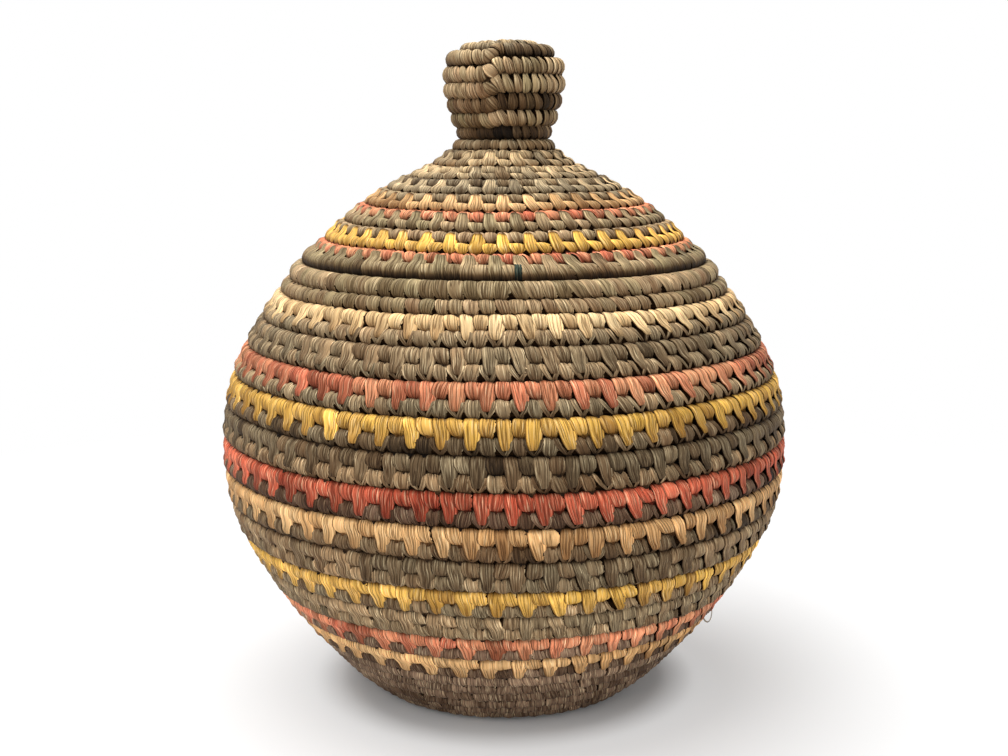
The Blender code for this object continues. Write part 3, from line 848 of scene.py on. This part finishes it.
# Profiles of the strips, from the end that turns towards the row sewn later to the end that is
# pushed through the row sewn before.  Half widths and shifts are shares of a strip's width, and a
# lift is how proud it lies.  A strip crosses to the next row at its last own angle.
LONG_STRIP = strip_profile(
    (-90, -74, -54, -28, 0, 24, 34),
    (0.40, 0.49, 0.54, 0.56, 0.56, 0.54, 0.50, 0.46, 0.42, 0.37, 0.30, 0.20),
    (0.3, 1.2, 1.4, 1.3, 1.2, 1.25, 1.25, 1.25, 1.3, 1.25, 0.9, -1.2),
    (-30, -30, -14, 2, 16, 25),
)
PLAIN_STRIP = strip_profile(
    (-90, -74, -52, -26, 2, 28, 48, 64, 80),
    (0.44, 0.52, 0.56, 0.58, 0.57, 0.52, 0.42, 0.27, 0.10),
    (0.3, 1.1, 1.25, 1.15, 1.15, 1.25, 1.3, 0.8, -0.6),
)
TIPPED_STRIP = strip_profile(
    (-90, -74, -54, -28, 0, 24, 44, 54),
    (0.40, 0.48, 0.54, 0.57, 0.57, 0.52, 0.43, 0.34, 0.25, 0.14, 0.05),
    (0.3, 1.1, 1.25, 1.15, 1.15, 1.2, 1.2, 1.1, 0.9, 0.2, -1.2),
    (-66, -60, -46, -36),
)
SPLIT_STRIP = strip_profile(
    (-86, -66, -40, -14, 8, 28, 46, 56),
    (0.12, 0.19, 0.23, 0.23, 0.21, 0.18, 0.16, 0.13, 0.10, 0.05),
    (0.3, 1.0, 1.2, 1.2, 1.2, 1.25, 1.2, 1.0, 0.8, -1.0),
    (-64, -60, -48),
    np.array((0.34, 0.39, 0.42, 0.41, 0.34, 0.23, 0.13, 0.08, 0.04, 0.02)),
)

# On the lid the strips are pointed at their lower ends and full at their upper ones
LID_LONG_STRIP = strip_profile(
    (-92, -78, -66, -52, -36, -14, 12, 34),
    (0.05, 0.12, 0.21, 0.34, 0.46, 0.56, 0.55, 0.51, 0.48, 0.45, 0.41, 0.35, 0.22),
    (-0.6, 0.3, 0.9, 1.2, 1.3, 1.2, 1.25, 1.25, 1.25, 1.3, 1.25, 0.9, -1.2),
    (-30, -30, -14, 2, 16, 25),
)
LID_SHORT_STRIP = strip_profile(
    (-92, -78, -66, -52, -36, -14, 16, 44, 62),
    (0.05, 0.11, 0.20, 0.33, 0.46, 0.57, 0.60, 0.57, 0.46),
    (-0.6, 0.2, 0.8, 1.1, 1.15, 1.15, 1.15, 1.0, -0.8),
)
LID_TIPPED_STRIP = strip_profile(
    (-92, -78, -66, -52, -36, -14, 16, 44, 54),
    (0.05, 0.11, 0.20, 0.33, 0.46, 0.57, 0.57, 0.49, 0.36, 0.26, 0.14, 0.05),
    (-0.6, 0.2, 0.8, 1.1, 1.15, 1.15, 1.2, 1.2, 1.1, 0.9, 0.2, -1.2),
    (-66, -60, -46, -36),
)
KNOB_STRIP = strip_profile(
    (-112, -96, -78, -56, -28, 2, 30, 50, 58),
    (0.06, 0.22, 0.40, 0.52, 0.57, 0.57, 0.52, 0.43, 0.35, 0.26, 0.10),
    (0.2, 1.2, 1.6, 1.6, 1.3, 1.2, 1.35, 1.4, 1.2, 0.9, -0.8),
    (-64, -60, -46),
)
INNER_STRIP = strip_profile(
    (76, 108, 144, 180, 216, 252, 284),
    (0.42, 0.48, 0.52, 0.52, 0.52, 0.48, 0.42),
    (-0.6, 0.5, 0.8, 0.8, 0.8, 0.5, -0.6),
)
OUTER_COLUMNS = (-1.0, -0.7, -0.34, 0.0, 0.34, 0.7, 1.0)
SPLIT_COLUMNS = (-1.0, -0.45, 0.45, 1.0)
INNER_COLUMNS = (-1.0, -0.4, 0.4, 1.0)


@dataclasses.dataclass
class Sewing:
    """How one part is sewn: the body it is on, its size of strip, its rows' tones and its strips."""

    body: str
    width: str
    long_rows: tuple
    fades: dict
    shades: tuple
    long: dict
    short: dict
    tipped: dict
    downward: bool = True
    on_knob: bool = False


WALL_STRIPS = (LONG_STRIP, TIPPED_STRIP, TIPPED_STRIP)
CONE_STRIPS = (LID_LONG_STRIP, LID_SHORT_STRIP, LID_TIPPED_STRIP)
KNOB_STRIPS = (KNOB_STRIP, KNOB_STRIP, KNOB_STRIP)
WALL_SEWING = Sewing("basket", "wall_strip", WALL_LONG_ROWS, WALL_FADES, WALL_SHADES, *WALL_STRIPS)
BASE_SEWING = Sewing("basket", "wall_strip", (), WALL_FADES, WALL_SHADES, *WALL_STRIPS)
LID_SEWING = Sewing("lid", "lid_strip", LID_LONG_ROWS, LID_FADES, LID_SHADES, *CONE_STRIPS, False)
KNOB_SEWING = Sewing("lid", "knob_strip", (), LID_FADES, LID_SHADES, *KNOB_STRIPS, False, True)
FLANGE_SEWING = Sewing("lid", "wall_strip", (), {}, (USUAL_SHADE,), *WALL_STRIPS)


@dataclasses.dataclass
class Strips:
    """Strips of one kind on one coil: where each is, how wide it is, and how it leans."""

    profile: dict
    columns: tuple
    turns: np.ndarray
    widths: np.ndarray
    slants: np.ndarray
    shades: np.ndarray
    fades: np.ndarray
    relief: float
    downward: bool
    fullness: float
    mirror: float = 1.0

    def fall(self):
        """Return how far down each row of points lies, from a strip's upper end to its lower one, for
        painted light.
        """
        rows = self.profile
        run = rows["own_angle"] + rows["next_angle"] - rows["next_angle"][0]
        run = run + CROSSING_ANGLE * rows["crossing"]
        share = (run - run[0]) / (run[-1] - run[0])
        if self.profile is INNER_STRIP:
            return between(*INNER_FALL, 2 * np.abs(share - 0.5))
        if not self.downward:
            return np.interp(run, *EDGE_FALL) if self.relief < 1 else 1 - share
        return np.append(share[:-1] * LONG_TIP_FALL, 1.0) if self.profile is LONG_STRIP else share

    def half_width(self):
        """Return the profile's half widths, which are fuller on the wrapped rows."""
        half_width, own = self.profile["half_width"], self.profile["own_angle"]
        if self.relief == 1:
            return half_width
        open_part = (self.profile["crossing"] > 0) | (np.abs(own - WRAPPED_OPEN_ANGLE) < WRAPPED_OPEN_ANGLE)
        if not self.downward:
            open_part = open_part & (own > LID_OPEN_ANGLE)
        return np.where(open_part, half_width, np.maximum(half_width, WRAPPED_HALF_WIDTH))

    def shape(self, coil, sizes, random):
        """Return the strips' points, tones and coordinates, as strips by rows by columns."""
        rows = {name: values[None, :, None] for name, values in self.profile.items()}
        turns, widths, slants, shades, fades = (
            np.asarray(values)[:, None, None]
            for values in (self.turns, self.widths, self.slants, self.shades, self.fades)
        )
        each = turns.shape
        across = np.array(self.columns)[None, None, :]
        thickness = coil.section(turns)[1]
        scale = thickness / COIL_THICKNESS
        angles, next_angles = np.radians(rows["own_angle"]), np.radians(rows["next_angle"])
        path = (angles + next_angles - next_angles[:, :1]) * half_depth(thickness)
        path = path + rows["crossing"] * CROSSING_SHARE * thickness
        curl = random.normal(0.0, CURL_SPREAD, each) * widths * np.sin(angles)
        middle = rows["shift"] * widths * self.mirror + np.tan(slants) * path + curl
        half_width = self.half_width()[None, :, None] * widths
        places = turns + (middle + half_width * across) / coil.girth(turns)

        crown = 1 - np.abs(across) ** 3
        pleats = np.cos(
            random.uniform(*PLEAT_RANGE, each) * across + random.uniform(0, 2 * math.pi, each)
        )
        proud = sizes.crown * rows["lift"] * between(EDGE_PROUD_SHARE, 1.0, crown)
        proud = proud + sizes.pleat * pleats * crown
        proud = proud * self.relief * random.uniform(*PROUD_RANGE, each)
        proud = proud - coil.handedness * self.relief * sizes.shingle * across
        proud = proud - self.relief * sizes.edge_sink * (1 - crown)
        radius = sizes.wrap_share * half_depth(thickness) * self.fullness + proud * scale

        points = coil.around(places, angles, radius)
        if rows["crossing"].any():
            thinner = half_depth(coil.section(turns + 1)[1] - thickness)
            beyond = coil.around(places + 1, next_angles, radius + thinner + sizes.lap * scale)
            points = between(points, beyond, rows["crossing"][..., None])
        points[..., 2] = pressed(points[..., 2])
        # The tones hold each strip's shade and fade, and where each point lies across and along it for
        # painted light
        side = 0.5 + across * (WRAPPED_SIDE if self.relief < 1 else 0.5)
        fall = self.fall()[None, :, None]
        tones = np.stack(np.broadcast_arrays(shades, fades, fall, side), axis=-1)
        step = np.linalg.norm(np.diff(points[:, :, len(self.columns) // 2], axis=1), axis=-1)
        run = np.concatenate([np.zeros(each[:2]), np.cumsum(step, axis=1)], axis=1)[:, :, None]
        start = random.uniform(0, 1, each)
        cross = start * PATTERN_SPREAD[0] + half_width.max(axis=1, keepdims=True) * across
        coordinates = np.broadcast_arrays(cross, start * PATTERN_SPREAD[1] + run)
        return points, tones, np.stack(coordinates, axis=-1)


def add_piece(name, build, material):
    """Add an object at the origin that shows a bmesh."""
    mesh = bpy.data.meshes.new(name)
    build.to_mesh(mesh)
    build.free()
    mesh.shade_smooth()
    mesh.materials.append(material)
    piece = bpy.data.objects.new(name, mesh)
    bpy.context.scene.collection.objects.link(piece)
    return piece


def strips_piece(name, material, batches):
    """Add a piece whose strips are copies of small grids, moved to their points."""
    build = bmesh.new()
    gathered = [], [], []
    for batch in batches:
        count, rows, columns = batch[0].shape[:3]
        template = bmesh.new()
        bmesh.ops.create_grid(template, x_segments=columns - 1, y_segments=rows - 1, size=1.0)
        grid = bpy.data.meshes.new("strip_grid")
        template.to_mesh(grid)
        template.free()
        order = np.array([vertex.co[:] for vertex in grid.vertices])
        column = np.round((order[:, 0] + 1) / 2 * (columns - 1)).astype(int)
        row = np.round((order[:, 1] + 1) / 2 * (rows - 1)).astype(int)
        for _ in range(count):
            build.from_mesh(grid)
        for kept, values in zip(gathered, batch):
            kept.append(values[:, row, column].reshape(-1, values.shape[-1]))
        bpy.data.meshes.remove(grid)
    piece = add_piece(name, build, material)
    mesh = piece.data
    places, tones, coordinates = (np.concatenate(kept) for kept in gathered)
    mesh.vertices.foreach_set("co", places.ravel())
    tone = mesh.color_attributes.new("strip_tone", "FLOAT_COLOR", "POINT")
    tone.data.foreach_set("color", tones.ravel())
    corners = np.empty(len(mesh.loops), dtype=np.int32)
    mesh.loops.foreach_get("vertex_index", corners)
    layer = mesh.uv_layers.new(name="strip_uv")
    layer.data.foreach_set("uv", coordinates[corners].ravel())
    mesh.update()
    return piece


def slants_at(coil, turns, row, sizes):
    """Return how far the strips lean, which is more on the right of the front."""
    if coil.step_from <= row:
        return np.radians(sizes.knob_slant)
    azimuth = np.degrees(coil.start_azimuth) + coil.handedness * 360 * turns
    from_front = (azimuth + 90 + 180) % 360 - 180
    right = smooth_step((from_front - LEAN_FROM) / LEAN_SPAN)
    return np.radians(between(sizes.slant, sizes.right_slant, right))


def row_strips(sewing, coil, row, first, last, random_of):
    """Return the strips of one row between two turns, with those that the row before splits."""
    sizes = bpy.context.scene.basket_sizes
    narrow = sewing.on_knob or (not sewing.downward and row >= NARROW_FROM)
    width = sizes.knob_strip if narrow else getattr(sizes, sewing.width)
    paired = row - 1 in sewing.long_rows or row in sewing.long_rows
    base = row - 1 if row - 1 in sewing.long_rows else row
    pairs = round(float(coil.girth(base + 1.0 if paired else row + 0.5)) / (2 * width))
    count = 2 * max(3, pairs)
    numbers = np.arange(count)
    shared, own = random_of(base), random_of(100 + row)
    turns = row + (numbers + 0.5 + shared.normal(0.0, DRIFT_SPREAD, count)) / count
    lengths = coil.girth(turns) / count * shared.normal(1.0, SWELL_SPREAD, count)
    sway = np.radians(own.normal(0.0, SWAY_SPREAD, count))
    sway = (np.roll(sway, 1) + 2 * sway + np.roll(sway, -1)) / 4
    slants = slants_at(coil, turns, row, sizes) + sway
    shade = sewing.shades[min(max(row, 0), len(sewing.shades) - 1)]
    shade = np.clip(own.normal(shade, SHADE_SPREAD, count), *SHADE_RANGE)
    fade = np.clip(own.normal(sewing.fades.get(row, USUAL_FADE), FADE_SPREAD, count), 0, 1)
    patch = np.sin(2 * math.pi * (PATCH_COUNT * numbers / count + own.uniform()))
    shade = np.clip(shade + PATCH_SHADE * patch, *SHADE_RANGE)
    fade = np.clip(fade + PATCH_FADE * patch, 0, 1)
    wrapped = row in WRAPPED_ROWS and not sewing.on_knob
    if wrapped:
        lengths = lengths + WRAPPED_OVERLAP * coil.girth(turns) / count
    inside = (turns >= first) & (turns < last)
    is_long = numbers % 2 == 0
    batches = []

    def add(profile, columns, chosen, share, mirror=1.0):
        chosen = chosen & inside
        if chosen.any():
            batches.append(Strips(
                profile, columns, turns[chosen], lengths[chosen] * share, slants[chosen],
                shade[chosen], fade[chosen], WRAPPED_RELIEF if wrapped else 1.0, sewing.downward,
                KNOB_FULLNESS if sewing.on_knob else 1.0, mirror,
            ))

    plain = sewing.tipped if 0 <= row < coil.last_tipped else PLAIN_STRIP
    if row in sewing.long_rows:
        add(sewing.long, OUTER_COLUMNS, is_long, LONG_WIDTH)
        add(sewing.short, OUTER_COLUMNS, ~is_long, SHORT_WIDTH)
    elif paired:
        add(plain, OUTER_COLUMNS, ~is_long, PLAIN_WIDTH)
        for side in (-1.0, 1.0):
            add(SPLIT_STRIP, SPLIT_COLUMNS, is_long, SPLIT_WIDTH, side)
    else:
        add(plain, OUTER_COLUMNS, inside, KNOB_WIDTH if sewing.on_knob else PLAIN_WIDTH)
    add(INNER_STRIP, INNER_COLUMNS, inside, INNER_WIDTH)
    return batches


def sew(sewing, node, dye, coil, first, last):
    """Sew one stretch of a coil over with strips of one dye, in place of its CAD node."""

    def random_of(number):
        return np.random.default_rng([SEED, len(coil.rows), number + 10])

    check_node(node, coil, first, last)
    sizes, body = bpy.context.scene.basket_sizes, sewing.body
    shaper = random_of(1000 + int(10 * first))
    batches = [
        strips.shape(coil, sizes, shaper)
        for row in range(math.floor(first), math.ceil(last))
        for strips in row_strips(sewing, coil, row, first, last, random_of)
    ]
    piece = strips_piece(f"{node}_sewing", strip_material(dye), batches)
    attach(piece, body)
    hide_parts(node)


def check_node(node, coil, first, last):
    """Stop if a coil's path and its solid aren't in the same place."""
    low, high = (np.array(corner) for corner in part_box(node))
    path = coil.middle(np.linspace(first, last, 200))
    if (path.min(axis=0) < low - MILLIMETRE).any() or (path.max(axis=0) > high + MILLIMETRE).any():
        raise RuntimeError(f"{node} lies elsewhere than its coil")


def wind(name, coil, first, last, mesh_size, body, fullness=1.0):
    """Wind the bundle that the strips are sewn over, as one unbroken tube."""
    per_turn, sides = mesh_size
    count = int(math.ceil((last - first) * per_turn))
    centre, out, onward, thickness = coil.frames(np.linspace(first, last, count + 1))
    build = bmesh.new()
    layer = build.loops.layers.uv.new("strip_uv")
    bmesh.ops.create_grid(build, x_segments=count, y_segments=sides, size=1.0)
    length = np.concatenate([[0.0], np.cumsum(np.linalg.norm(np.diff(centre, axis=0), axis=1))])
    radius = bpy.context.scene.basket_sizes.core_share * half_depth(thickness) * fullness
    places = {}
    for vertex in build.verts:
        step = round((vertex.co.x + 1) / 2 * count)
        angle = round((vertex.co.y + 1) / 2 * sides) * 2 * math.pi / sides
        places[vertex.index] = (length[step], angle * radius[step])
        vertex.co = centre[step] + radius[step] * (
            math.cos(angle) * out[step] + math.sin(angle) * onward[step]
        )
        vertex.co.z = float(pressed(vertex.co.z))
    for face in build.faces:
        for loop in face.loops:
            loop[layer].uv = places[loop.vert.index]
    bmesh.ops.remove_doubles(build, verts=build.verts, dist=MERGE_DISTANCE)
    bmesh.ops.holes_fill(build, edges=[edge for edge in build.edges if edge.is_boundary], sides=0)
    piece = add_piece(name, build, bundle_material())
    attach(piece, body)


def line_knob():
    """Turn a lining behind the knob's rows, dark as painted shade, where the stepped rows lie further
    apart.
    """
    coil, neck = lid_coil()
    stretch = np.linspace(coil.section(neck)[0], coil.outline.length[-1], LINING_ROWS)
    radius, height = coil.outline.place(stretch)
    run, rise = coil.outline.direction(stretch)
    radius = np.maximum(radius - LINING_DEPTH * rise, LINING_TIP_RADIUS)
    height = height - LINING_DEPTH * np.abs(run)
    build = bmesh.new()
    bmesh.ops.create_grid(build, x_segments=LINING_SIDES, y_segments=LINING_ROWS - 1, size=1.0)
    for vertex in build.verts:
        angle = math.pi * vertex.co.x
        place = round((vertex.co.y + 1) / 2 * (LINING_ROWS - 1))
        vertex.co = (radius[place] * math.cos(angle), radius[place] * math.sin(angle), height[place])
    bmesh.ops.remove_doubles(build, verts=build.verts, dist=MERGE_DISTANCE)
    piece = add_piece("knob_lining", build, bundle_material())
    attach(piece, "lid")


def number(name, description, default, **kind):
    """Return a property that holds a number."""
    return bpy.props.FloatProperty(name=name, description=description, default=default, **kind)


def length(name, description, default):
    """Return a property that holds a length."""
    return number(name, description, default, unit="LENGTH")


def colour(name, description, shown):
    """Return a property that holds a colour, given in display numbers."""
    return bpy.props.FloatVectorProperty(
        name=name, description=description, default=linear(*shown), subtype="COLOR", min=0.0, max=1.0
    )


class BasketSizes(bpy.types.PropertyGroup):
    """Sizes of the sewing that a user would change."""

    wall_strip: length("Wall strip", "Width of a strip on the wall", 0.0044)
    lid_strip: length("Lid strip", "Width of a strip on the lid", 0.0038)
    knob_strip: length("Knob strip", "Width of a strip on the knob", 0.0027)
    slant: number("Slant", "How far the strips lean, in degrees", -4.0)
    right_slant: number("Slant at the right", "Lean right of the front, in degrees", -13.0)
    knob_slant: number("Knob slant", "How far the knob's strips lean, in degrees", -14.0)
    crown: length("Crown", "How proud a strip's middle lies", 0.00038)
    pleat: length("Pleat", "Depth of the folds along a strip", 0.00008)
    shingle: length("Shingle", "How proud a strip's left edge lies", 0.00028)
    edge_sink: length("Edge sink", "How deep a strip's edges lie", 0.00022)
    lap: length("Lap", "How proud a tip lies on the next row", 0.00022)
    wrap_share: number("Wrap share", "Radius of the wrapping as a share of the coil's", 0.99)
    core_share: number("Bundle share", "Radius of the bundle as a share of the coil's", 1.02)
    fold_width: length("Fold width", "Width of the folds in a strip", 0.0009)
    fibre_width: length("Fibre width", "Width of a fibre", 0.00036)
    fibre_length: length("Fibre length", "Length of a fibre's marks", 0.006)
    fibre_depth: length("Fibre depth", "Depth of the fibres", 0.0006)
    fibre_contrast: number("Fibre contrast", "How much the fibres differ in lightness", 1.5)
    gloss: number("Gloss", "Strength of the strips' sheen", 0.14, subtype="FACTOR")


class BasketColours(bpy.types.PropertyGroup):
    """Colours of the dyes, each with a first and a second colour."""

    __annotations__ = {
        f"{dye}_{which}": colour(
            f"{label}, {which}", f"The {which} colour of the {label.lower()} strips", shown
        )
        for dye, (label, *pair) in DYES.items()
        for which, shown in zip(("first", "second"), pair)
    }
    # Pale fibres, lightened on the ridges as a painted sheen
    flecks_and_sheen: colour("Flecks", "Colour of the pale fibres in every strip", FLECKS_AND_SHEEN)
    # The warm tint of painted shade in the strips' folds and between them
    painted_shade_tint: colour("Crease", "Tint of the dark creases in and between the strips", PAINTED_SHADE_TINT)


class StageSettings(bpy.types.PropertyGroup):
    """The camera's place and the light."""

    distance: length("Distance", "From the axis to the camera", 0.5)
    height: length("Height", "Of the camera above the floor", 0.194)
    tilt: number("Tilt", "How far the camera looks down", math.radians(10.04), subtype="ANGLE")
    lens: number("Lens", "Focal length in millimetres", 52.82)
    top_lamp: number("Top lamp", "Strength of the soft lamp overhead", 2.7)
    front_lamp: number("Front lamp", "Strength of the lamp in front, at the left", 0.85)
    side_lamp: number("Side lamp", "Strength of the softer lamp at the right", 0.35)
    sky: number("Sky", "Strength of the light from all round", 0.24)


class BASKET_OT_bundles(bpy.types.Operator):
    """Wind the bundles of stems of the basket, the lid and its flange"""

    bl_idname = "basket.bundles"
    bl_label = "Wind the bundles"

    def execute(self, context):
        wall, _ = wall_coil()
        lid, neck = lid_coil()
        wind("basket_bundle", wall, -TAIL_TURNS, wall.end, WALL_BUNDLE_MESH, "basket")
        wind("lid_bundle", lid, -TAIL_TURNS, neck, LID_BUNDLE_MESH, "lid")
        wind("knob_bundle", lid, neck, lid.end, KNOB_BUNDLE_MESH, "lid",
             KNOB_CORE_FULLNESS)
        line_knob()
        wind("flange_bundle", flange_coil(), -FLANGE_TAIL_TURNS, FLANGE_ROWS, LID_BUNDLE_MESH,
             "lid")
        return {"FINISHED"}


class BASKET_OT_wall(bpy.types.Operator):
    """Sew the basket's wall over, one colour at a time"""

    bl_idname = "basket.wall"
    bl_label = "Sew the wall"

    def execute(self, context):
        coil, foot_turns = wall_coil()
        for node, slot, dye, first, last in WALL_PIECES:
            sew(WALL_SEWING, node, dye, coil, first or -TAIL_TURNS, last or foot_turns)
        return {"FINISHED"}


class BASKET_OT_base(bpy.types.Operator):
    """Sew the basket's base over"""

    bl_idname = "basket.base"
    bl_label = "Sew the base"

    def execute(self, context):
        coil, foot_turns = wall_coil()
        sew(BASE_SEWING, "base_coil", "brown", coil, foot_turns, coil.end)
        return {"FINISHED"}


class BASKET_OT_lid(bpy.types.Operator):
    """Sew the lid's cone over, one colour at a time"""

    bl_idname = "basket.lid"
    bl_label = "Sew the lid"

    def execute(self, context):
        coil, neck = lid_coil()
        for node, slot, dye, first, last in LID_PIECES:
            sew(LID_SEWING, node, dye, coil, first or -TAIL_TURNS, last or neck)
        self.bind_thread(coil, context.scene.basket_sizes)
        return {"FINISHED"}

    def bind_thread(self, coil, sizes):
        """Bind a few turns of dark thread round the lid's edge."""
        even = np.ones(len(THREAD_TURNS))
        turns, fades = np.array(THREAD_TURNS), np.array(THREAD_FADES)
        strips = Strips(
            PLAIN_STRIP, SPLIT_COLUMNS, turns, THREAD_WIDTH * even, 0 * even, USUAL_SHADE * even,
            fades, THREAD_RELIEF, False, THREAD_FULLNESS,
        )
        batch = strips.shape(coil, sizes, np.random.default_rng(SEED))
        piece = strips_piece("lid_edge_thread", strip_material("thread"), [batch])
        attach(piece, "lid")


class BASKET_OT_knob(bpy.types.Operator):
    """Sew the knob over, its wall and then its crown"""

    bl_idname = "basket.knob"
    bl_label = "Sew the knob"

    def execute(self, context):
        coil, neck = lid_coil()
        crown = max(neck + 1, math.floor(coil.end) - KNOB_CROWN_ROWS + 1)
        sew(KNOB_SEWING, "knob_wall_coil", "olive", coil, neck, crown)
        sew(KNOB_SEWING, "knob_crown_coil", "beige", coil, crown, coil.end)
        return {"FINISHED"}


class BASKET_OT_flange(bpy.types.Operator):
    """Sew the flange under the lid over"""

    bl_idname = "basket.flange"
    bl_label = "Sew the flange"

    def execute(self, context):
        sew(FLANGE_SEWING, "lid_flange_coil", "dark", flange_coil(),
            -FLANGE_TAIL_TURNS, FLANGE_ROWS)
        return {"FINISHED"}


class BASKET_OT_loose_strand(bpy.types.Operator):
    """Curl the loose strip end out of the foot's wall"""

    bl_idname = "basket.loose_strand"
    bl_label = "Curl the loose strand"

    def execute(self, context):
        curve = bpy.data.curves.new("loose_strand_curl", "CURVE")
        curve.dimensions = "3D"
        curve.bevel_depth = STRAND_THICKNESS / 2
        curve.bevel_resolution = 3
        curve.use_fill_caps = True
        spline = curve.splines.new("NURBS")
        spline.points.add(len(STRAND_SHARES) - 1)
        spline.use_endpoint_u = True
        for target, (place, fullness) in zip(spline.points, self.places()):
            target.co = place
            target.radius = fullness
        guide = bpy.data.objects.new("strand_guide", curve)
        context.scene.collection.objects.link(guide)
        context.view_layer.update()
        mesh = bpy.data.meshes.new_from_object(guide.evaluated_get(context.evaluated_depsgraph_get()))
        build = bmesh.new()
        build.from_mesh(mesh)
        bmesh.ops.remove_doubles(build, verts=build.verts, dist=MERGE_DISTANCE)
        bpy.data.objects.remove(guide)
        bpy.data.curves.remove(curve)
        bpy.data.meshes.remove(mesh)
        piece = add_piece("loose_strand_curl", build, strand_material())
        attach(piece, "basket")
        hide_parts("loose_strand")
        return {"FINISHED"}

    def places(self):
        """Return the strand's points and how full it is there, from its root between two rows."""
        coil, _ = wall_coil()
        row = int(STRAND_ROW)
        along = between(coil.rows[row - 1], coil.rows[row], STRAND_ROW - row)
        radius, height = coil.outline.place(along)
        outward = coil.outline.outward(along)
        side_angle = math.pi / SECTION_SIDES
        clearance = SEAT_CLEARANCE + STRAND_THICKNESS / 2
        groove = half_depth(COIL_THICKNESS) * math.sin(side_angle)
        root = groove + (clearance - ROW_GAP / 2 * math.sin(side_angle)) / math.cos(side_angle)
        azimuth = math.radians(STRAND_ANGLE)
        for out_share, up_share in STRAND_SHARES:
            reach = radius + root * math.cos(outward) + STRAND_REACH * out_share
            level = height + root * math.sin(outward) + STRAND_REACH * up_share
            place = (reach * math.cos(azimuth), reach * math.sin(azimuth), level, 1.0)
            yield place, between(1.0, STRAND_TIP_SHARE, abs(out_share))


class BASKET_OT_stage(bpy.types.Operator):
    """Lay the floor, hang the lamps and place the camera"""

    bl_idname = "basket.stage"
    bl_label = "Set the stage"

    def execute(self, context):
        scene, settings = context.scene, context.scene.basket_stage
        build = bmesh.new()
        bmesh.ops.create_grid(build, x_segments=1, y_segments=1, size=FLOOR_HALF_SIZE)
        floor = add_piece("floor", build, floor_material())
        scene.world = soft_sky(settings.sky)
        for name, place, spread in LAMPS:
            lamp = bpy.data.lights.new(name, "SUN")
            lamp.angle = math.radians(spread)
            lamp.energy = getattr(settings, name)
            holder = bpy.data.objects.new(name, lamp)
            holder.location = place
            holder.rotation_euler = mathutils.Vector(place).to_track_quat("Z", "Y").to_euler()
            scene.collection.objects.link(holder)
        camera = bpy.data.cameras.new("camera")
        camera.lens = settings.lens
        camera.sensor_width = SENSOR_WIDTH
        camera.clip_start = NEAREST
        viewer = bpy.data.objects.new("camera", camera)
        viewer.location = (0.0, -settings.distance, settings.height)
        viewer.rotation_euler = (math.pi / 2 - settings.tilt, 0.0, 0.0)
        scene.collection.objects.link(viewer)
        scene.camera = viewer
        scene.view_settings.view_transform = "Standard"
        return {"FINISHED"}


class BASKET_PT_panel(bpy.types.Panel):
    """The basket's sizes, colours and pieces"""

    bl_idname = "BASKET_PT_panel"
    bl_label = "Lidded coiled basket"
    bl_space_type = "VIEW_3D"
    bl_region_type = "UI"
    bl_category = "Basket"

    def draw(self, context):
        scene = context.scene
        for group in (scene.basket_sizes, scene.basket_colours, scene.basket_stage):
            column = self.layout.column(align=True)
            for name in group.__annotations__:
                column.prop(group, name)
        for operator in OPERATORS:
            self.layout.operator(operator.bl_idname)


OPERATORS = (
    BASKET_OT_bundles,
    BASKET_OT_wall,
    BASKET_OT_base,
    BASKET_OT_lid,
    BASKET_OT_knob,
    BASKET_OT_flange,
    BASKET_OT_loose_strand,
    BASKET_OT_stage,
)
CLASSES = (BasketSizes, BasketColours, StageSettings) + OPERATORS + (BASKET_PT_panel,)


def register():
    """Register the classes and give the scene their settings."""
    for each in CLASSES:
        bpy.utils.register_class(each)
    bpy.types.Scene.basket_sizes = bpy.props.PointerProperty(type=BasketSizes)
    bpy.types.Scene.basket_colours = bpy.props.PointerProperty(type=BasketColours)
    bpy.types.Scene.basket_stage = bpy.props.PointerProperty(type=StageSettings)


def unregister():
    """Take the settings and the classes away again."""
    del bpy.types.Scene.basket_stage
    del bpy.types.Scene.basket_colours
    del bpy.types.Scene.basket_sizes
    for each in reversed(CLASSES):
        bpy.utils.unregister_class(each)


def main():
    """Make every piece and the stage."""
    register()
    bpy.ops.basket.bundles()
    bpy.ops.basket.wall()
    bpy.ops.basket.base()
    bpy.ops.basket.lid()
    bpy.ops.basket.knob()
    bpy.ops.basket.flange()
    bpy.ops.basket.loose_strand()
    bpy.ops.basket.stage()
    bpy.context.view_layer.update()


if __name__ == "__main__":
    main()
